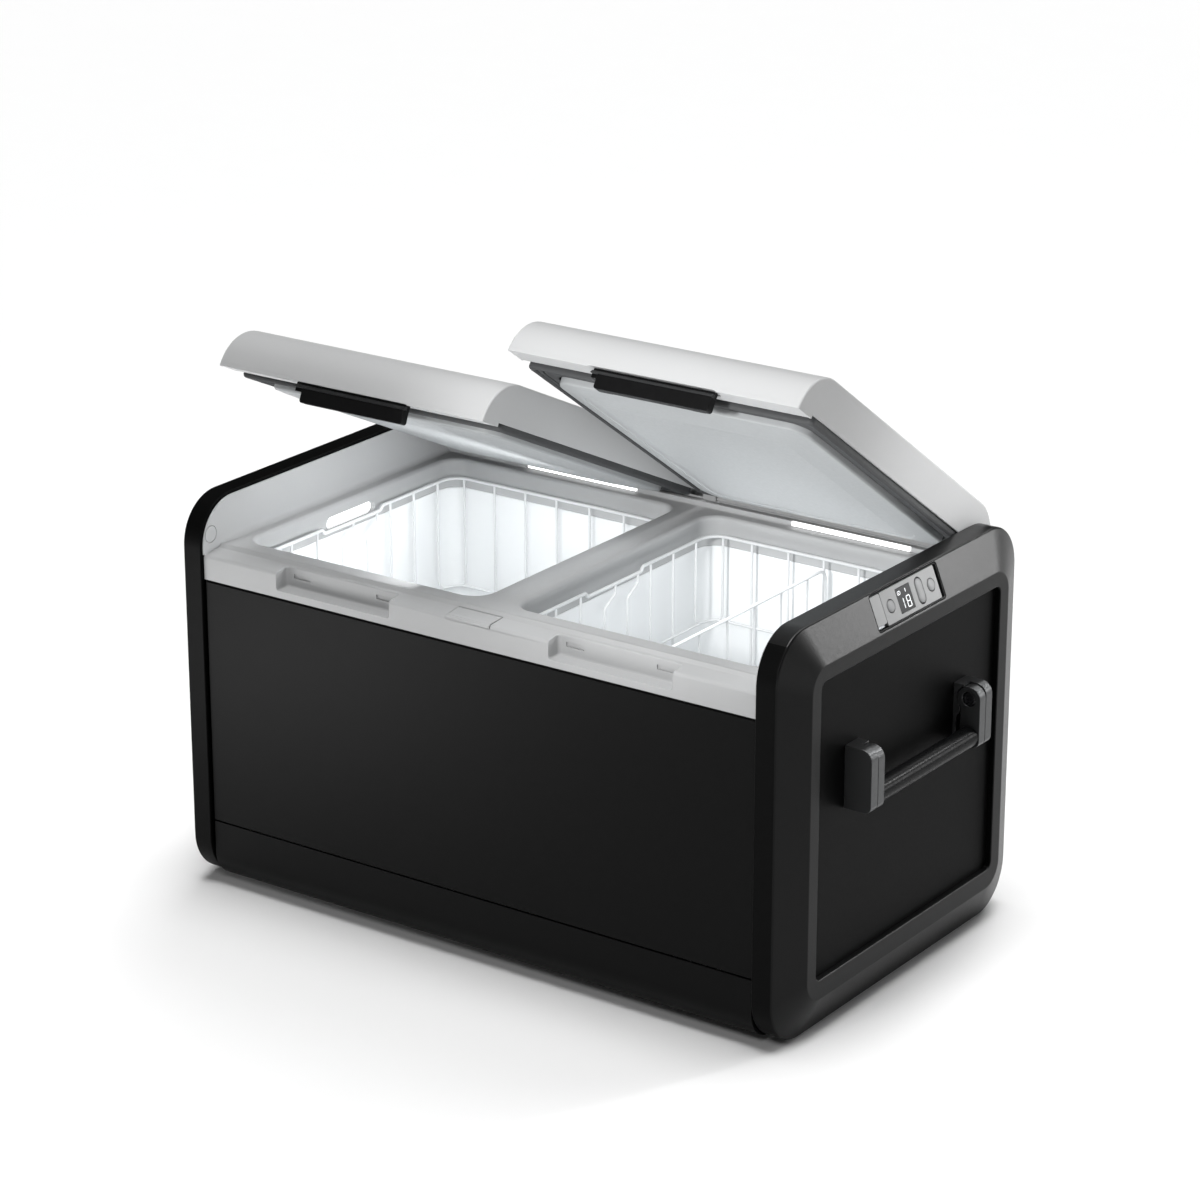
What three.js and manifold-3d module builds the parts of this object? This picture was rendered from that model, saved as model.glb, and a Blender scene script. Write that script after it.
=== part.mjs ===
// Two-compartment portable compressor cooler: a foam-filled chest between two
// moulded end caps, with two rear-hinged lids, two wire baskets, a control
// panel on the right cap and a swinging carry handle on each end.
// Millimetres. Origin: centre of the footprint on the floor, +Z up,
// +X towards the end with the control panel, -Y towards the front.
import * as THREE from "three";
import { mergeVertices } from "three/addons/utils/BufferGeometryUtils.js";
import Module from "manifold-3d";

const wasm = await Module();
wasm.setup();

// ---------------------------------------------------------------- dimensions
const HALF_DEPTH = 247.5; // end caps, front and back
const TOP_Z = 472; // top of the end caps
const CAP_BOTTOM_Z = 3;
const CAP_RADIUS = 56; // corners of the cap outline
const CAP_IN_X = 376.4; // inner face of the cap band
const CAP_BAND_X = 401.4; // outer edge of the band, where the chamfer starts
const CAP_FACE_X = 419; // outer face of the end ring
const CAP_CHAMFER = 43.5; // inset of the end ring from the band outline
const PANEL_HALF_Y = 186; // side panel opening
const PANEL_LOW_Z = 69;
const PANEL_HIGH_Z = 411;
const BODY_HALF_X = 376.1; // centre body between the caps
const BODY_HALF_Y = 242.5;
const SEAM_Z = 81.5; // base tray to front panel
const STRIP_LOW_Z = 379; // lower edge of the light top frame
const LEDGE_Z = 411.5; // front ledge under the lid lips
const LAND_Z = 415; // sealing land round the openings
const OPEN_X0 = 22.5; // openings, nearest and furthest from the centre
const OPEN_X1 = 356;
const OPEN_Y0 = -190;
const OPEN_Y1 = 197;
const OPEN_R = 25;
const TUB_WALL = 2;
const LEFT_TUB_FLOOR = 52;
const RIGHT_TUB_FLOOR = 192;
const HINGE_Y = 236; // lid hinge axis, along X
const HINGE_Z = 438;
const LEFT_LID_OPEN = 25; // degrees from closed, as built
const RIGHT_LID_OPEN = 34.7;
const LID_X0 = 3;
const LID_X1 = 373.5;
const LID_TOP_Z = 471;
const LID_ARC_R = 54;
const LID_SIDE_Z = 424.5; // bottom of the lid's side skirts
const LID_LIP_Z = 420; // bottom of the lid's front lip
const LATCH_X0 = 115; // latch grip, from the centre of the chest
const LATCH_X1 = 262;
const RECESS_X0 = 108.5; // latch recess in the top frame
const RECESS_X1 = 269.5;
const RECESS_Z = 388;
const RECESS_Y = -222.5;
const HANDLE_X = 446; // outermost face of the handles
const BRACKET_Y0 = 100; // bracket and arm, inner and outer face
const BRACKET_Y1 = 127;
const ARM_Y1 = 113.2; // outer face of the swinging arm
const PIVOT_X = 431.5;
const PIVOT_Z = 305;
const GRIP_X = 433.5;
const GRIP_Z = 262;
const GRIP_R = 12;
const PAD_Y0 = -72; // control recess along the chamfer
const PAD_Y1 = 68;
const PAD_S0 = 3.2; // control recess, measured down the slope
const PAD_S1 = 44;
const FOOT_H = 4.7;

// ------------------------------------------------------------------- helpers
const V2 = (x, y) => new THREE.Vector2(x, y);

function solid(geometry) {
  const g = geometry.clone();
  g.deleteAttribute("normal");
  g.deleteAttribute("uv");
  const m = mergeVertices(g, 1e-4);
  const tri = new Uint32Array(m.index.array);
  const make = (t) =>
    new wasm.Manifold(
      new wasm.Mesh({
        numProp: 3,
        vertProperties: new Float32Array(m.attributes.position.array),
        triVerts: t,
      }),
    );
  let s = make(tri);
  if (s.volume() < 0) {
    for (let i = 0; i < tri.length; i += 3)
      [tri[i + 1], tri[i + 2]] = [tri[i + 2], tri[i + 1]];
    s = make(tri);
  }
  return s;
}

function geometryOf(s) {
  const m = s.getMesh();
  const pos = new Float32Array(m.numVert * 3);
  for (let i = 0; i < m.numVert; i++)
    pos.set(m.vertProperties.subarray(i * m.numProp, i * m.numProp + 3), i * 3);
  const g = new THREE.BufferGeometry();
  g.setAttribute("position", new THREE.BufferAttribute(pos, 3));
  g.setIndex(new THREE.BufferAttribute(new Uint32Array(m.triVerts), 1));
  const flat = g.toNonIndexed();
  flat.computeVertexNormals();
  return flat;
}

// rounded rectangle outline, as points, u then v
function roundRect(u0, u1, v0, v1, rTop, rBottom = rTop, seg = 4) {
  const pts = [];
  const arc = (cu, cv, r, a0) => {
    for (let i = 0; i <= seg; i++) {
      const a = a0 + (Math.PI / 2) * (i / seg);
      pts.push([cu + r * Math.cos(a), cv + r * Math.sin(a)]);
    }
  };
  arc(u1 - rTop, v1 - rTop, rTop, 0);
  arc(u0 + rTop, v1 - rTop, rTop, Math.PI / 2);
  arc(u0 + rBottom, v0 + rBottom, rBottom, Math.PI);
  arc(u1 - rBottom, v0 + rBottom, rBottom, (3 * Math.PI) / 2);
  return pts;
}

function extrude(points, depth) {
  const shape = new THREE.Shape(points.map((p) => V2(p[0], p[1])));
  return new THREE.ExtrudeGeometry(shape, {
    depth,
    bevelEnabled: false,
    steps: 1,
    curveSegments: 4,
  });
}

// prisms along each axis from an outline: X takes (y, z), Y takes (x, z), Z takes (x, y)
function prismX(points, x0, x1) {
  const g = extrude(points, x1 - x0);
  g.applyMatrix4(
    new THREE.Matrix4().set(0, 0, 1, x0, 1, 0, 0, 0, 0, 1, 0, 0, 0, 0, 0, 1),
  );
  return solid(g);
}
function prismY(points, y0, y1) {
  const g = extrude(points, y1 - y0);
  g.applyMatrix4(
    new THREE.Matrix4().set(1, 0, 0, 0, 0, 0, 1, y0, 0, 1, 0, 0, 0, 0, 0, 1),
  );
  return solid(g);
}
function prismZ(points, z0, z1) {
  const g = extrude(points, z1 - z0);
  g.translate(0, 0, z0);
  return solid(g);
}
function box(x0, x1, y0, y1, z0, z1) {
  const g = new THREE.BoxGeometry(x1 - x0, y1 - y0, z1 - z0);
  g.translate((x0 + x1) / 2, (y0 + y1) / 2, (z0 + z1) / 2);
  return solid(g);
}
function cylinder(axis, r, a0, a1, c1, c2, seg = 16) {
  const g = new THREE.CylinderGeometry(r, r, a1 - a0, seg);
  if (axis === "x") {
    g.rotateZ(Math.PI / 2);
    g.translate((a0 + a1) / 2, c1, c2);
  } else if (axis === "y") {
    g.translate(c1, (a0 + a1) / 2, c2);
  } else {
    g.rotateX(Math.PI / 2);
    g.translate(c1, c2, (a0 + a1) / 2);
  }
  return solid(g);
}

// skin through a stack of equal outlines, closed at both ends
function loft(rings) {
  const n = rings[0].length;
  const pos = rings.flat(2);
  const idx = [];
  for (let k = 0; k + 1 < rings.length; k++)
    for (let i = 0; i < n; i++) {
      const a = k * n + i,
        b = k * n + ((i + 1) % n),
        c = a + n,
        d = b + n;
      idx.push(a, b, d, a, d, c);
    }
  for (let i = 1; i + 1 < n; i++) {
    idx.push(0, i + 1, i);
    const t = (rings.length - 1) * n;
    idx.push(t, t + i, t + i + 1);
  }
  const g = new THREE.BufferGeometry();
  g.setAttribute("position", new THREE.Float32BufferAttribute(pos, 3));
  g.setIndex(idx);
  return solid(g);
}
const onX = (points, x) => points.map((p) => [x, p[0], p[1]]);
const onZ = (points, z) => points.map((p) => [p[0], p[1], z]);

// the same solid mirrored to the other end of the chest
function mirrored(s) {
  const g = geometryOf(s);
  g.applyMatrix4(new THREE.Matrix4().makeScale(-1, 1, 1));
  return solid(g);
}
function moved(s, matrix) {
  const g = geometryOf(s);
  g.applyMatrix4(matrix);
  return solid(g);
}

const group = new THREE.Group();
const finish = {
  cap: { color: 0x1c1d1e, roughness: 0.45, metalness: 0 },
  panel: { color: 0x262828, roughness: 0.5, metalness: 0 },
  frame: { color: 0xbfc1c2, roughness: 0.5, metalness: 0 },
  lid: { color: 0xc9cacb, roughness: 0.45, metalness: 0 },
  liner: { color: 0xe9edf0, roughness: 0.4, metalness: 0 },
  lidliner: { color: 0xc3c9cd, roughness: 0.4, metalness: 0 },
  seal: { color: 0x5c5d5f, roughness: 0.7, metalness: 0 },
  rubber: { color: 0x161616, roughness: 0.8, metalness: 0 },
  black: { color: 0x101111, roughness: 0.5, metalness: 0 },
  wire: { color: 0xf2f4f5, roughness: 0.35, metalness: 0 },
  foam: { color: 0xe0cf96, roughness: 0.9, metalness: 0 },
  alu: { color: 0xb9bcbf, roughness: 0.35, metalness: 1 },
  steel: { color: 0x9a9c9e, roughness: 0.3, metalness: 1 },
  handle: { color: 0x5d5f61, roughness: 0.35, metalness: 0.6 },
  face: { color: 0xbfc0c1, roughness: 0.4, metalness: 0.5 },
  display: { color: 0x2f3133, roughness: 0.15, metalness: 0 },
  button: { color: 0x9c9d9e, roughness: 0.4, metalness: 0.3 },
  led: { color: 0xffffff, roughness: 0.4, metalness: 0 },
  board: { color: 0x1f4a33, roughness: 0.6, metalness: 0 },
};
const materials = {};
function add(name, s, kind, parent = group) {
  materials[kind] ??= new THREE.MeshStandardMaterial(finish[kind]);
  const mesh = new THREE.Mesh(geometryOf(s), materials[kind]);
  mesh.name = name;
  parent.add(mesh);
  return mesh;
}

// ------------------------------------------------------------------ end caps
const capOutline = (inset, r) =>
  roundRect(
    -HALF_DEPTH + inset,
    HALF_DEPTH - inset,
    CAP_BOTTOM_Z + inset,
    TOP_Z - inset,
    r,
    r,
    5,
  );
// frame on the sloping control face: e1 along +Y, e2 down the slope, e3 outwards
const slope = Math.hypot(CAP_FACE_X - CAP_BAND_X, CAP_CHAMFER);
const down = new THREE.Vector3(
  (CAP_FACE_X - CAP_BAND_X) / slope,
  0,
  -CAP_CHAMFER / slope,
);
const out = new THREE.Vector3(-down.z, 0, down.x);
const slopeFrame = new THREE.Matrix4()
  .makeBasis(new THREE.Vector3(0, 1, 0), down, out)
  .setPosition(CAP_BAND_X, 0, TOP_Z);
// a prism standing on the slope: outline in (along y, down the slope), from depth a to b
function slopePrism(points, a, b) {
  const g = extrude(points, b - a);
  g.translate(0, 0, a);
  g.applyMatrix4(slopeFrame);
  return solid(g);
}

function endCap(withControls) {
  let s = loft([
    onX(capOutline(0, CAP_RADIUS), CAP_IN_X),
    onX(capOutline(0, CAP_RADIUS), CAP_BAND_X),
    onX(capOutline(CAP_CHAMFER, 28), CAP_FACE_X),
  ]);
  s = s
    .subtract(prismX(capOutline(4, 52), CAP_IN_X - 1, 397))
    .subtract(prismX(capOutline(34, 30), 396, 412))
    .subtract(
      prismX(
        roundRect(
          -PANEL_HALF_Y,
          PANEL_HALF_Y,
          PANEL_LOW_Z,
          PANEL_HIGH_Z,
          9,
          9,
          3,
        ),
        411,
        CAP_FACE_X + 1,
      ),
    );
  if (withControls)
    s = s.subtract(
      slopePrism(roundRect(PAD_Y0, PAD_Y1, PAD_S0, PAD_S1, 3.5, 3.5, 3), -30, 2),
    );
  return s;
}
add("right_end_cap", endCap(true), "cap");
add("left_end_cap", mirrored(endCap(false)), "cap");

const sidePanel = () =>
  prismX(roundRect(-200, 200, 55, 425, 12, 12, 3), 408.4, 411.7);
add("right_side_panel", sidePanel(), "panel");
add("left_side_panel", mirrored(sidePanel()), "panel");

// ------------------------------------------------------- centre body: panels
add(
  "front_panel",
  box(
    -BODY_HALF_X,
    BODY_HALF_X,
    -BODY_HALF_Y,
    -BODY_HALF_Y + 3,
    SEAM_Z + 0.8,
    STRIP_LOW_Z - 0.8,
  ),
  "panel",
);
{
  let s = box(
    -BODY_HALF_X,
    BODY_HALF_X,
    BODY_HALF_Y - 3,
    BODY_HALF_Y,
    SEAM_Z + 0.8,
    STRIP_LOW_Z - 0.8,
  );
  // louvres of the machine compartment, and the two inlet windows
  for (let i = 0; i < 6; i++)
    s = s.subtract(box(190, 340, 230, 250, 96 + i * 12, 101 + i * 12));
  s = s
    .subtract(box(60, 94, 230, 250, 98, 122))
    .subtract(box(106, 146, 230, 250, 96, 124));
  add("rear_panel", s, "panel");
}
{
  // base tray: a channel with rounded lower edges and intake slots in its floor
  const outer = roundRect(-BODY_HALF_Y, BODY_HALF_Y, 5, 160, 1, 50, 4);
  const inner = roundRect(
    -BODY_HALF_Y + 3,
    BODY_HALF_Y - 3,
    8,
    170,
    1,
    47,
    4,
  );
  let s = prismX(outer, -BODY_HALF_X, BODY_HALF_X)
    .subtract(prismX(inner, -BODY_HALF_X - 1, BODY_HALF_X + 1))
    .subtract(box(-400, 400, -260, 260, SEAM_Z, 200));
  for (let i = 0; i < 4; i++)
    s = s.subtract(box(180 + i * 20, 188 + i * 20, -120, 0, 0, 10));
  s = s.subtract(cylinder("z", 11, 0, 12, -190, 60, 12));
  add("base_tray", s, "panel");
}
for (const [name, x, y] of [
  ["foot_front_left", -320, -165],
  ["foot_front_right", 320, -165],
  ["foot_rear_left", -320, 165],
  ["foot_rear_right", 320, 165],
])
  add(name, cylinder("z", 17, 0, FOOT_H, x, y, 16), "rubber");

// -------------------------------------------- top frame with the two openings
const openingOutline = (grow = 0) =>
  roundRect(
    OPEN_X0 - grow,
    OPEN_X1 + grow,
    OPEN_Y0 - grow,
    OPEN_Y1 + grow,
    OPEN_R + grow,
    OPEN_R + grow,
    4,
  );
{
  let s = box(
    -BODY_HALF_X,
    BODY_HALF_X,
    -BODY_HALF_Y,
    BODY_HALF_Y,
    STRIP_LOW_Z,
    LEDGE_Z,
  ).add(box(-BODY_HALF_X, BODY_HALF_X, -216, 222, LEDGE_Z - 1, LAND_Z));
  // ridge behind the openings that carries the lamps
  s = s.add(box(-BODY_HALF_X, BODY_HALF_X, 212, 219, LAND_Z - 1, 421.8));
  // end walls that rise inside the caps
  const wall = roundRect(-244.2, 244.2, LEDGE_Z - 40, 468.7, 52.7, 1, 5);
  s = s
    .add(
      prismX(wall, BODY_HALF_X - 2, BODY_HALF_X)
        .subtract(box(300, 400, -250, -BODY_HALF_Y, 0, LEDGE_Z))
        .subtract(box(300, 400, BODY_HALF_Y, 250, 0, LEDGE_Z))
        .subtract(box(300, 400, -260, 260, 0, STRIP_LOW_Z)),
    )
    .add(
      prismX(wall, -BODY_HALF_X, -BODY_HALF_X + 2)
        .subtract(box(-400, -300, -250, -BODY_HALF_Y, 0, LEDGE_Z))
        .subtract(box(-400, -300, BODY_HALF_Y, 250, 0, LEDGE_Z))
        .subtract(box(-400, -300, -260, 260, 0, STRIP_LOW_Z)),
    );
  // hinge posts: one in the middle, one at each end
  const post = [
    [229.5, LEDGE_Z - 1],
    [242.4, LEDGE_Z - 1],
  ];
  for (let i = 0; i <= 8; i++) {
    const a = (Math.PI * i) / 8;
    post.push([HINGE_Y + 6.4 * Math.cos(a), HINGE_Z + 6.4 * Math.sin(a)]);
  }
  s = s
    .add(prismX(post, -9, 9))
    .add(prismX(post, 362, BODY_HALF_X))
    .add(prismX(post, -BODY_HALF_X, -362));
  s = s
    .subtract(cylinder("x", 2.8, -370.3, 370.3, HINGE_Y, HINGE_Z, 16))
    .subtract(prismZ(openingOutline(), 300, 430))
    .subtract(mirrored(prismZ(openingOutline(), 300, 430)));
  for (const k of [-1, 1]) {
    const c = (k * (RECESS_X0 + RECESS_X1)) / 2;
    const w = (RECESS_X1 - RECESS_X0) / 2;
    s = s.subtract(box(c - w, c + w, -250, RECESS_Y, RECESS_Z, 430));
    // striker slots for the latch hooks
    for (const d of [-59, 59])
      s = s.subtract(box(c + d - 12, c + d + 12, -240, -214, 398, 403.5));
    // lamp windows
    s = s.subtract(box(c - 82.5, c + 82.5, 211, 214.5, 416, 421.9));
  }
  // pocket for the cover plate between the latches
  s = s.subtract(box(-32, 32, -243, -218, LEDGE_Z - 2.3, LEDGE_Z + 1));
  // finger slot in the outer wall of the left opening
  s = s.subtract(
    prismX(roundRect(-55, 45, 385, 401, 7.9, 7.9, 3), -363, -355),
  );
  add("top_frame", s, "frame");
}
add(
  "cover_plate",
  box(-31.7, 31.7, -242.2, -218.3, LEDGE_Z - 2, LEDGE_Z + 0.2),
  "frame",
);
for (const [name, k] of [
  ["left_lamp", -1],
  ["right_lamp", 1],
])
  add(
    name,
    box(k * 189 - 82.2, k * 189 + 82.2, 211.6, 214.2, 416.3, 421.6),
    "led",
  );

// -------------------------------------------------------- tubs and insulation
function tub(floor) {
  return prismZ(openingOutline(TUB_WALL), floor - TUB_WALL, STRIP_LOW_Z - 0.3)
    .subtract(prismZ(openingOutline(), floor, 400));
}
add("left_tub", mirrored(tub(LEFT_TUB_FLOOR)), "liner");
add("right_tub", tub(RIGHT_TUB_FLOOR), "liner");

function evaporator(z0, z1) {
  return prismZ(openingOutline(TUB_WALL + 2), z0, z1).subtract(
    prismZ(openingOutline(TUB_WALL + 0.4), z0 - 1, z1 + 1),
  );
}
add("left_evaporator", mirrored(evaporator(150, 350)), "alu");
add("right_evaporator", evaporator(215, 350), "alu");

{
  // one foamed block round both tubs, stepped up over the machine compartment
  const pocket = openingOutline(TUB_WALL + 2.4);
  let s = box(-372, 372, -239.2, 239.2, 170, STRIP_LOW_Z - 0.3)
    .add(box(-372, -2, -190, 190, 12, 171))
    .subtract(prismZ(pocket, RIGHT_TUB_FLOOR - TUB_WALL - 0.4, 400))
    .subtract(
      mirrored(prismZ(pocket, LEFT_TUB_FLOOR - TUB_WALL - 0.4, 400)),
    )
    .subtract(cylinder("z", 9.3, 0, 60, -190, 60, 12));
  add("insulation_foam", s, "foam");
}
add(
  "drain_plug",
  cylinder("z", 9, 6, 45, -190, 60, 12).add(
    cylinder("z", 10.6, 5.2, 8, -190, 60, 12),
  ),
  "rubber",
);

// --------------------------------------------------- machine compartment
{
  // hermetic compressor: squat can with a stepped lid and four feet
  let s = loft([
    onZ(roundRect(150, 290, -60, 60, 45, 45, 4), 30),
    onZ(roundRect(142, 298, -68, 68, 52, 52, 4), 50),
    onZ(roundRect(142, 298, -68, 68, 52, 52, 4), 105),
    onZ(roundRect(152, 288, -58, 58, 45, 45, 4), 135),
  ]);
  s = s
    .add(box(140, 160, -70, 70, 24, 34))
    .add(box(280, 300, -70, 70, 24, 34));
  for (const x of [150, 290])
    for (const y of [-60, 60])
      s = s.add(cylinder("z", 8, 8.3, 26, x, y, 8));
  add("compressor", s, "black");
}
{
  // condenser: tube-and-fin block with its end plates
  let s = box(190, 340, 186, 188, 90, 160)
    .add(box(190, 192.5, 186, 226, 90, 160))
    .add(box(337.5, 340, 186, 226, 90, 160))
    .add(box(190, 340, 198, 214, 158, 160))
    .add(box(190, 340, 198, 214, 90, 92));
  for (let i = 1; i < 12; i++)
    s = s.add(box(190 + i * 12.3, 191.2 + i * 12.3, 186.5, 226, 90.5, 159.5));
  add("condenser", s, "alu");
}
{
  // fan frame with its four-arm hub carrier
  let s = box(225, 305, 156, 182, 85, 165).subtract(
    cylinder("y", 36, 150, 190, 265, 125, 24),
  );
  s = s
    .add(box(226, 304, 157, 160, 123, 127))
    .add(box(263, 267, 157, 160, 86, 164))
    .add(cylinder("y", 12, 157, 162, 265, 125, 16))
    .add(cylinder("y", 2.5, 160, 176, 265, 125, 12));
  add("fan_frame", s, "black");
}
{
  let s = cylinder("y", 13, 164, 178.5, 265, 125, 16);
  for (let i = 0; i < 7; i++) {
    const blade = box(-6.5, 6.5, -1, 1, 10, 33);
    const m = new THREE.Matrix4()
      .makeTranslation(265, 171, 125)
      .multiply(new THREE.Matrix4().makeRotationY((i * 2 * Math.PI) / 7))
      .multiply(new THREE.Matrix4().makeRotationZ(Math.PI / 5));
    s = s.add(moved(blade, m));
  }
  s = s.subtract(cylinder("y", 2.8, 160, 176.3, 265, 125, 12));
  add("fan_rotor", s, "black");
}
add(
  "control_module",
  box(30, 110, 110, 190, 60, 90).add(box(34, 40, 106, 194, 62, 66)),
  "alu",
);
for (const [name, x0, x1, z0, z1, w] of [
  ["dc_inlet", 60.3, 93.7, 98.3, 121.7, 3.2],
  ["ac_inlet", 106.3, 145.7, 96.3, 123.7, 5],
]) {
  const xm = (x0 + x1) / 2,
    zm = (z0 + z1) / 2;
  let s = box(x0, x1, 215, 242.2, z0, z1).subtract(
    box(x0 + w, x1 - w, 222, 245, z0 + w, z1 - w),
  );
  s = s
    .add(cylinder("y", 2, 220, 236, xm - 6.5, zm, 8))
    .add(cylinder("y", 2, 220, 236, xm + 6.5, zm, 8));
  add(name, s, "black");
}

// ------------------------------------------------------------ control panel
{
  // housing: tray set in the chamfer window, open outwards
  const o = (g) =>
    roundRect(PAD_Y0 + g, PAD_Y1 - g, PAD_S0 + g, PAD_S1 - g, 3.2, 3.2, 3);
  let s = slopePrism(o(0.4), -10, -0.6).subtract(slopePrism(o(1.8), -8, 1));
  add("control_housing", s, "black");
}
const roundPts = (u, v, r, n = 16) =>
  Array.from({ length: n }, (_, i) => [
    u + r * Math.cos((2 * Math.PI * i) / n),
    v + r * Math.sin((2 * Math.PI * i) / n),
  ]);
const ovalPts = (u, v, r, half, n = 8) => {
  const pts = [];
  for (let i = 0; i <= n; i++) {
    const a = (Math.PI * i) / n;
    pts.push([u + r * Math.cos(a), v + half + r * Math.sin(a)]);
  }
  for (let i = 0; i <= n; i++) {
    const a = Math.PI + (Math.PI * i) / n;
    pts.push([u + r * Math.cos(a), v - half + r * Math.sin(a)]);
  }
  return pts;
};
const POWER_Y = -35.3,
  SET_Y = 47.9,
  ROCKER_Y = 25.2,
  KEY_S = 23.5,
  KEY_R = 7;
{
  let s = slopePrism(
    [
      [-49.6, 5.4],
      [61.5, 5.4],
      [61.5, 41.8],
      [-49.6, 41.8],
    ],
    -7.6,
    -0.8,
  );
  s = s
    .subtract(slopePrism(roundPts(POWER_Y, KEY_S, KEY_R + 0.6), -6, 1))
    .subtract(slopePrism(roundPts(SET_Y, KEY_S, KEY_R + 0.6), -6, 1))
    .subtract(slopePrism(ovalPts(ROCKER_Y, KEY_S, KEY_R + 0.4, 8), -6, 1))
    .subtract(
      slopePrism(
        [
          [-20.3, 9.2],
          [8.9, 9.2],
          [8.9, 37.3],
          [-20.3, 37.3],
        ],
        -3,
        1,
      ),
    );
  add("control_face", s, "face");
}
add(
  "display_window",
  slopePrism(
    [
      [-20, 9.5],
      [8.6, 9.5],
      [8.6, 37],
      [-20, 37],
    ],
    -2.7,
    -0.8,
  ),
  "display",
);
add(
  "power_button",
  slopePrism(roundPts(POWER_Y, KEY_S, KEY_R - 0.3), -4, 0.6),
  "button",
);
add(
  "set_button",
  slopePrism(roundPts(SET_Y, KEY_S, KEY_R - 0.3), -4, 0.6),
  "button",
);
add(
  "temperature_rocker",
  slopePrism(ovalPts(ROCKER_Y, KEY_S, KEY_R - 0.8, 7.4), -3.6, 0.6),
  "button",
);
// charging port under a hinged flap at the front end of the panel
{
  let s = slopePrism(
    [
      [-67.2, 30],
      [-51, 30],
      [-51, 41.4],
      [-67.2, 41.4],
    ],
    -7.6,
    -4.2,
  ).subtract(
    slopePrism(
      [
        [-65, 33],
        [-53, 33],
        [-53, 38],
        [-65, 38],
      ],
      -6.5,
      0,
    ),
  );
  add("charging_port", s, "steel");
}
add(
  "port_flap",
  slopePrism(roundRect(-69.7, -50.2, 5.6, 38, 2.6, 2.6, 3), -2.2, -0.8),
  "face",
);

// ------------------------------------------------------------------ handles
function bracket(side) {
  // plate on the side panel and the fixed outer cheek; built for the rear one
  const plate = [
    [412, 249],
    [420.5, 249],
    [420.5, 321],
    [412, 321],
  ];
  const cheek = [[412, 249]];
  cheek.push([438, 249]);
  for (let i = 0; i <= 3; i++) {
    const a = -Math.PI / 2 + (Math.PI / 2) * (i / 3);
    cheek.push([HANDLE_X - 8 + 8 * Math.cos(a), 257 + 8 * Math.sin(a)]);
  }
  for (let i = 0; i <= 4; i++) {
    const a = (Math.PI / 2) * (i / 4);
    cheek.push([HANDLE_X - 14 + 14 * Math.cos(a), 307 + 14 * Math.sin(a)]);
  }
  cheek.push([412, 321]);
  let s = prismY(plate, BRACKET_Y0, BRACKET_Y1).add(
    prismY(cheek, ARM_Y1 + 0.3, BRACKET_Y1),
  );
  // rounded seat for the arm's head
  s = s
    .subtract(cylinder("y", 15.2, BRACKET_Y0 - 1, ARM_Y1 + 0.3, PIVOT_X, PIVOT_Z, 20))
    .subtract(cylinder("y", 3.4, ARM_Y1 - 1, BRACKET_Y1 - 4, PIVOT_X, PIVOT_Z, 12));
  return side < 0 ? flipY(s) : s;
}
function flipY(s) {
  return moved(s, new THREE.Matrix4().makeScale(1, -1, 1));
}
function bail() {
  // one arm, rear: round head on the pivot, straight shank, rounded foot
  const arm = [];
  for (let i = 0; i <= 8; i++) {
    const a = Math.PI * (i / 8);
    arm.push([PIVOT_X + 14.5 * Math.cos(a), PIVOT_Z + 14.5 * Math.sin(a)]);
  }
  arm.push([421.2, 293], [421.2, 249]);
  for (let i = 0; i <= 3; i++) {
    const a = -Math.PI / 2 + (Math.PI / 2) * (i / 3);
    arm.push([HANDLE_X - 8 + 8 * Math.cos(a), 257 + 8 * Math.sin(a)]);
  }
  const one = prismY(arm, BRACKET_Y0 + 0.2, ARM_Y1 - 0.2).subtract(
    cylinder("y", 4.2, 90, 120, PIVOT_X, PIVOT_Z, 12).add(
      cylinder("y", 8.2, 90, BRACKET_Y0 + 4, PIVOT_X, PIVOT_Z, 16),
    ),
  );
  return one
    .add(flipY(one))
    .add(cylinder("y", 8, -ARM_Y1 + 2, ARM_Y1 - 2, GRIP_X, GRIP_Z, 12));
}
const grip = () =>
  cylinder("y", GRIP_R, -BRACKET_Y0 - 0.1, BRACKET_Y0 + 0.1, GRIP_X, GRIP_Z, 16)
    .subtract(cylinder("y", 8.3, -110, 110, GRIP_X, GRIP_Z, 12));
const bolt = () =>
  cylinder("y", 7.6, BRACKET_Y0 + 0.8, BRACKET_Y0 + 3.6, PIVOT_X, PIVOT_Z, 16)
    .add(cylinder("y", 3.1, BRACKET_Y0 + 2, BRACKET_Y1 - 5, PIVOT_X, PIVOT_Z, 12))
    .subtract(cylinder("y", 2.6, BRACKET_Y0, BRACKET_Y0 + 2.4, PIVOT_X, PIVOT_Z, 6));
for (const [end, put] of [
  ["right", (s) => s],
  ["left", mirrored],
]) {
  add(end + "_bracket_rear", put(bracket(1)), "handle");
  add(end + "_bracket_front", put(bracket(-1)), "handle");
  add(end + "_bail", put(bail()), "handle");
  add(end + "_grip", put(grip()), "black");
  add(end + "_pivot_bolt_rear", put(bolt()), "steel");
  add(end + "_pivot_bolt_front", put(flipY(bolt())), "steel");
}

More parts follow.
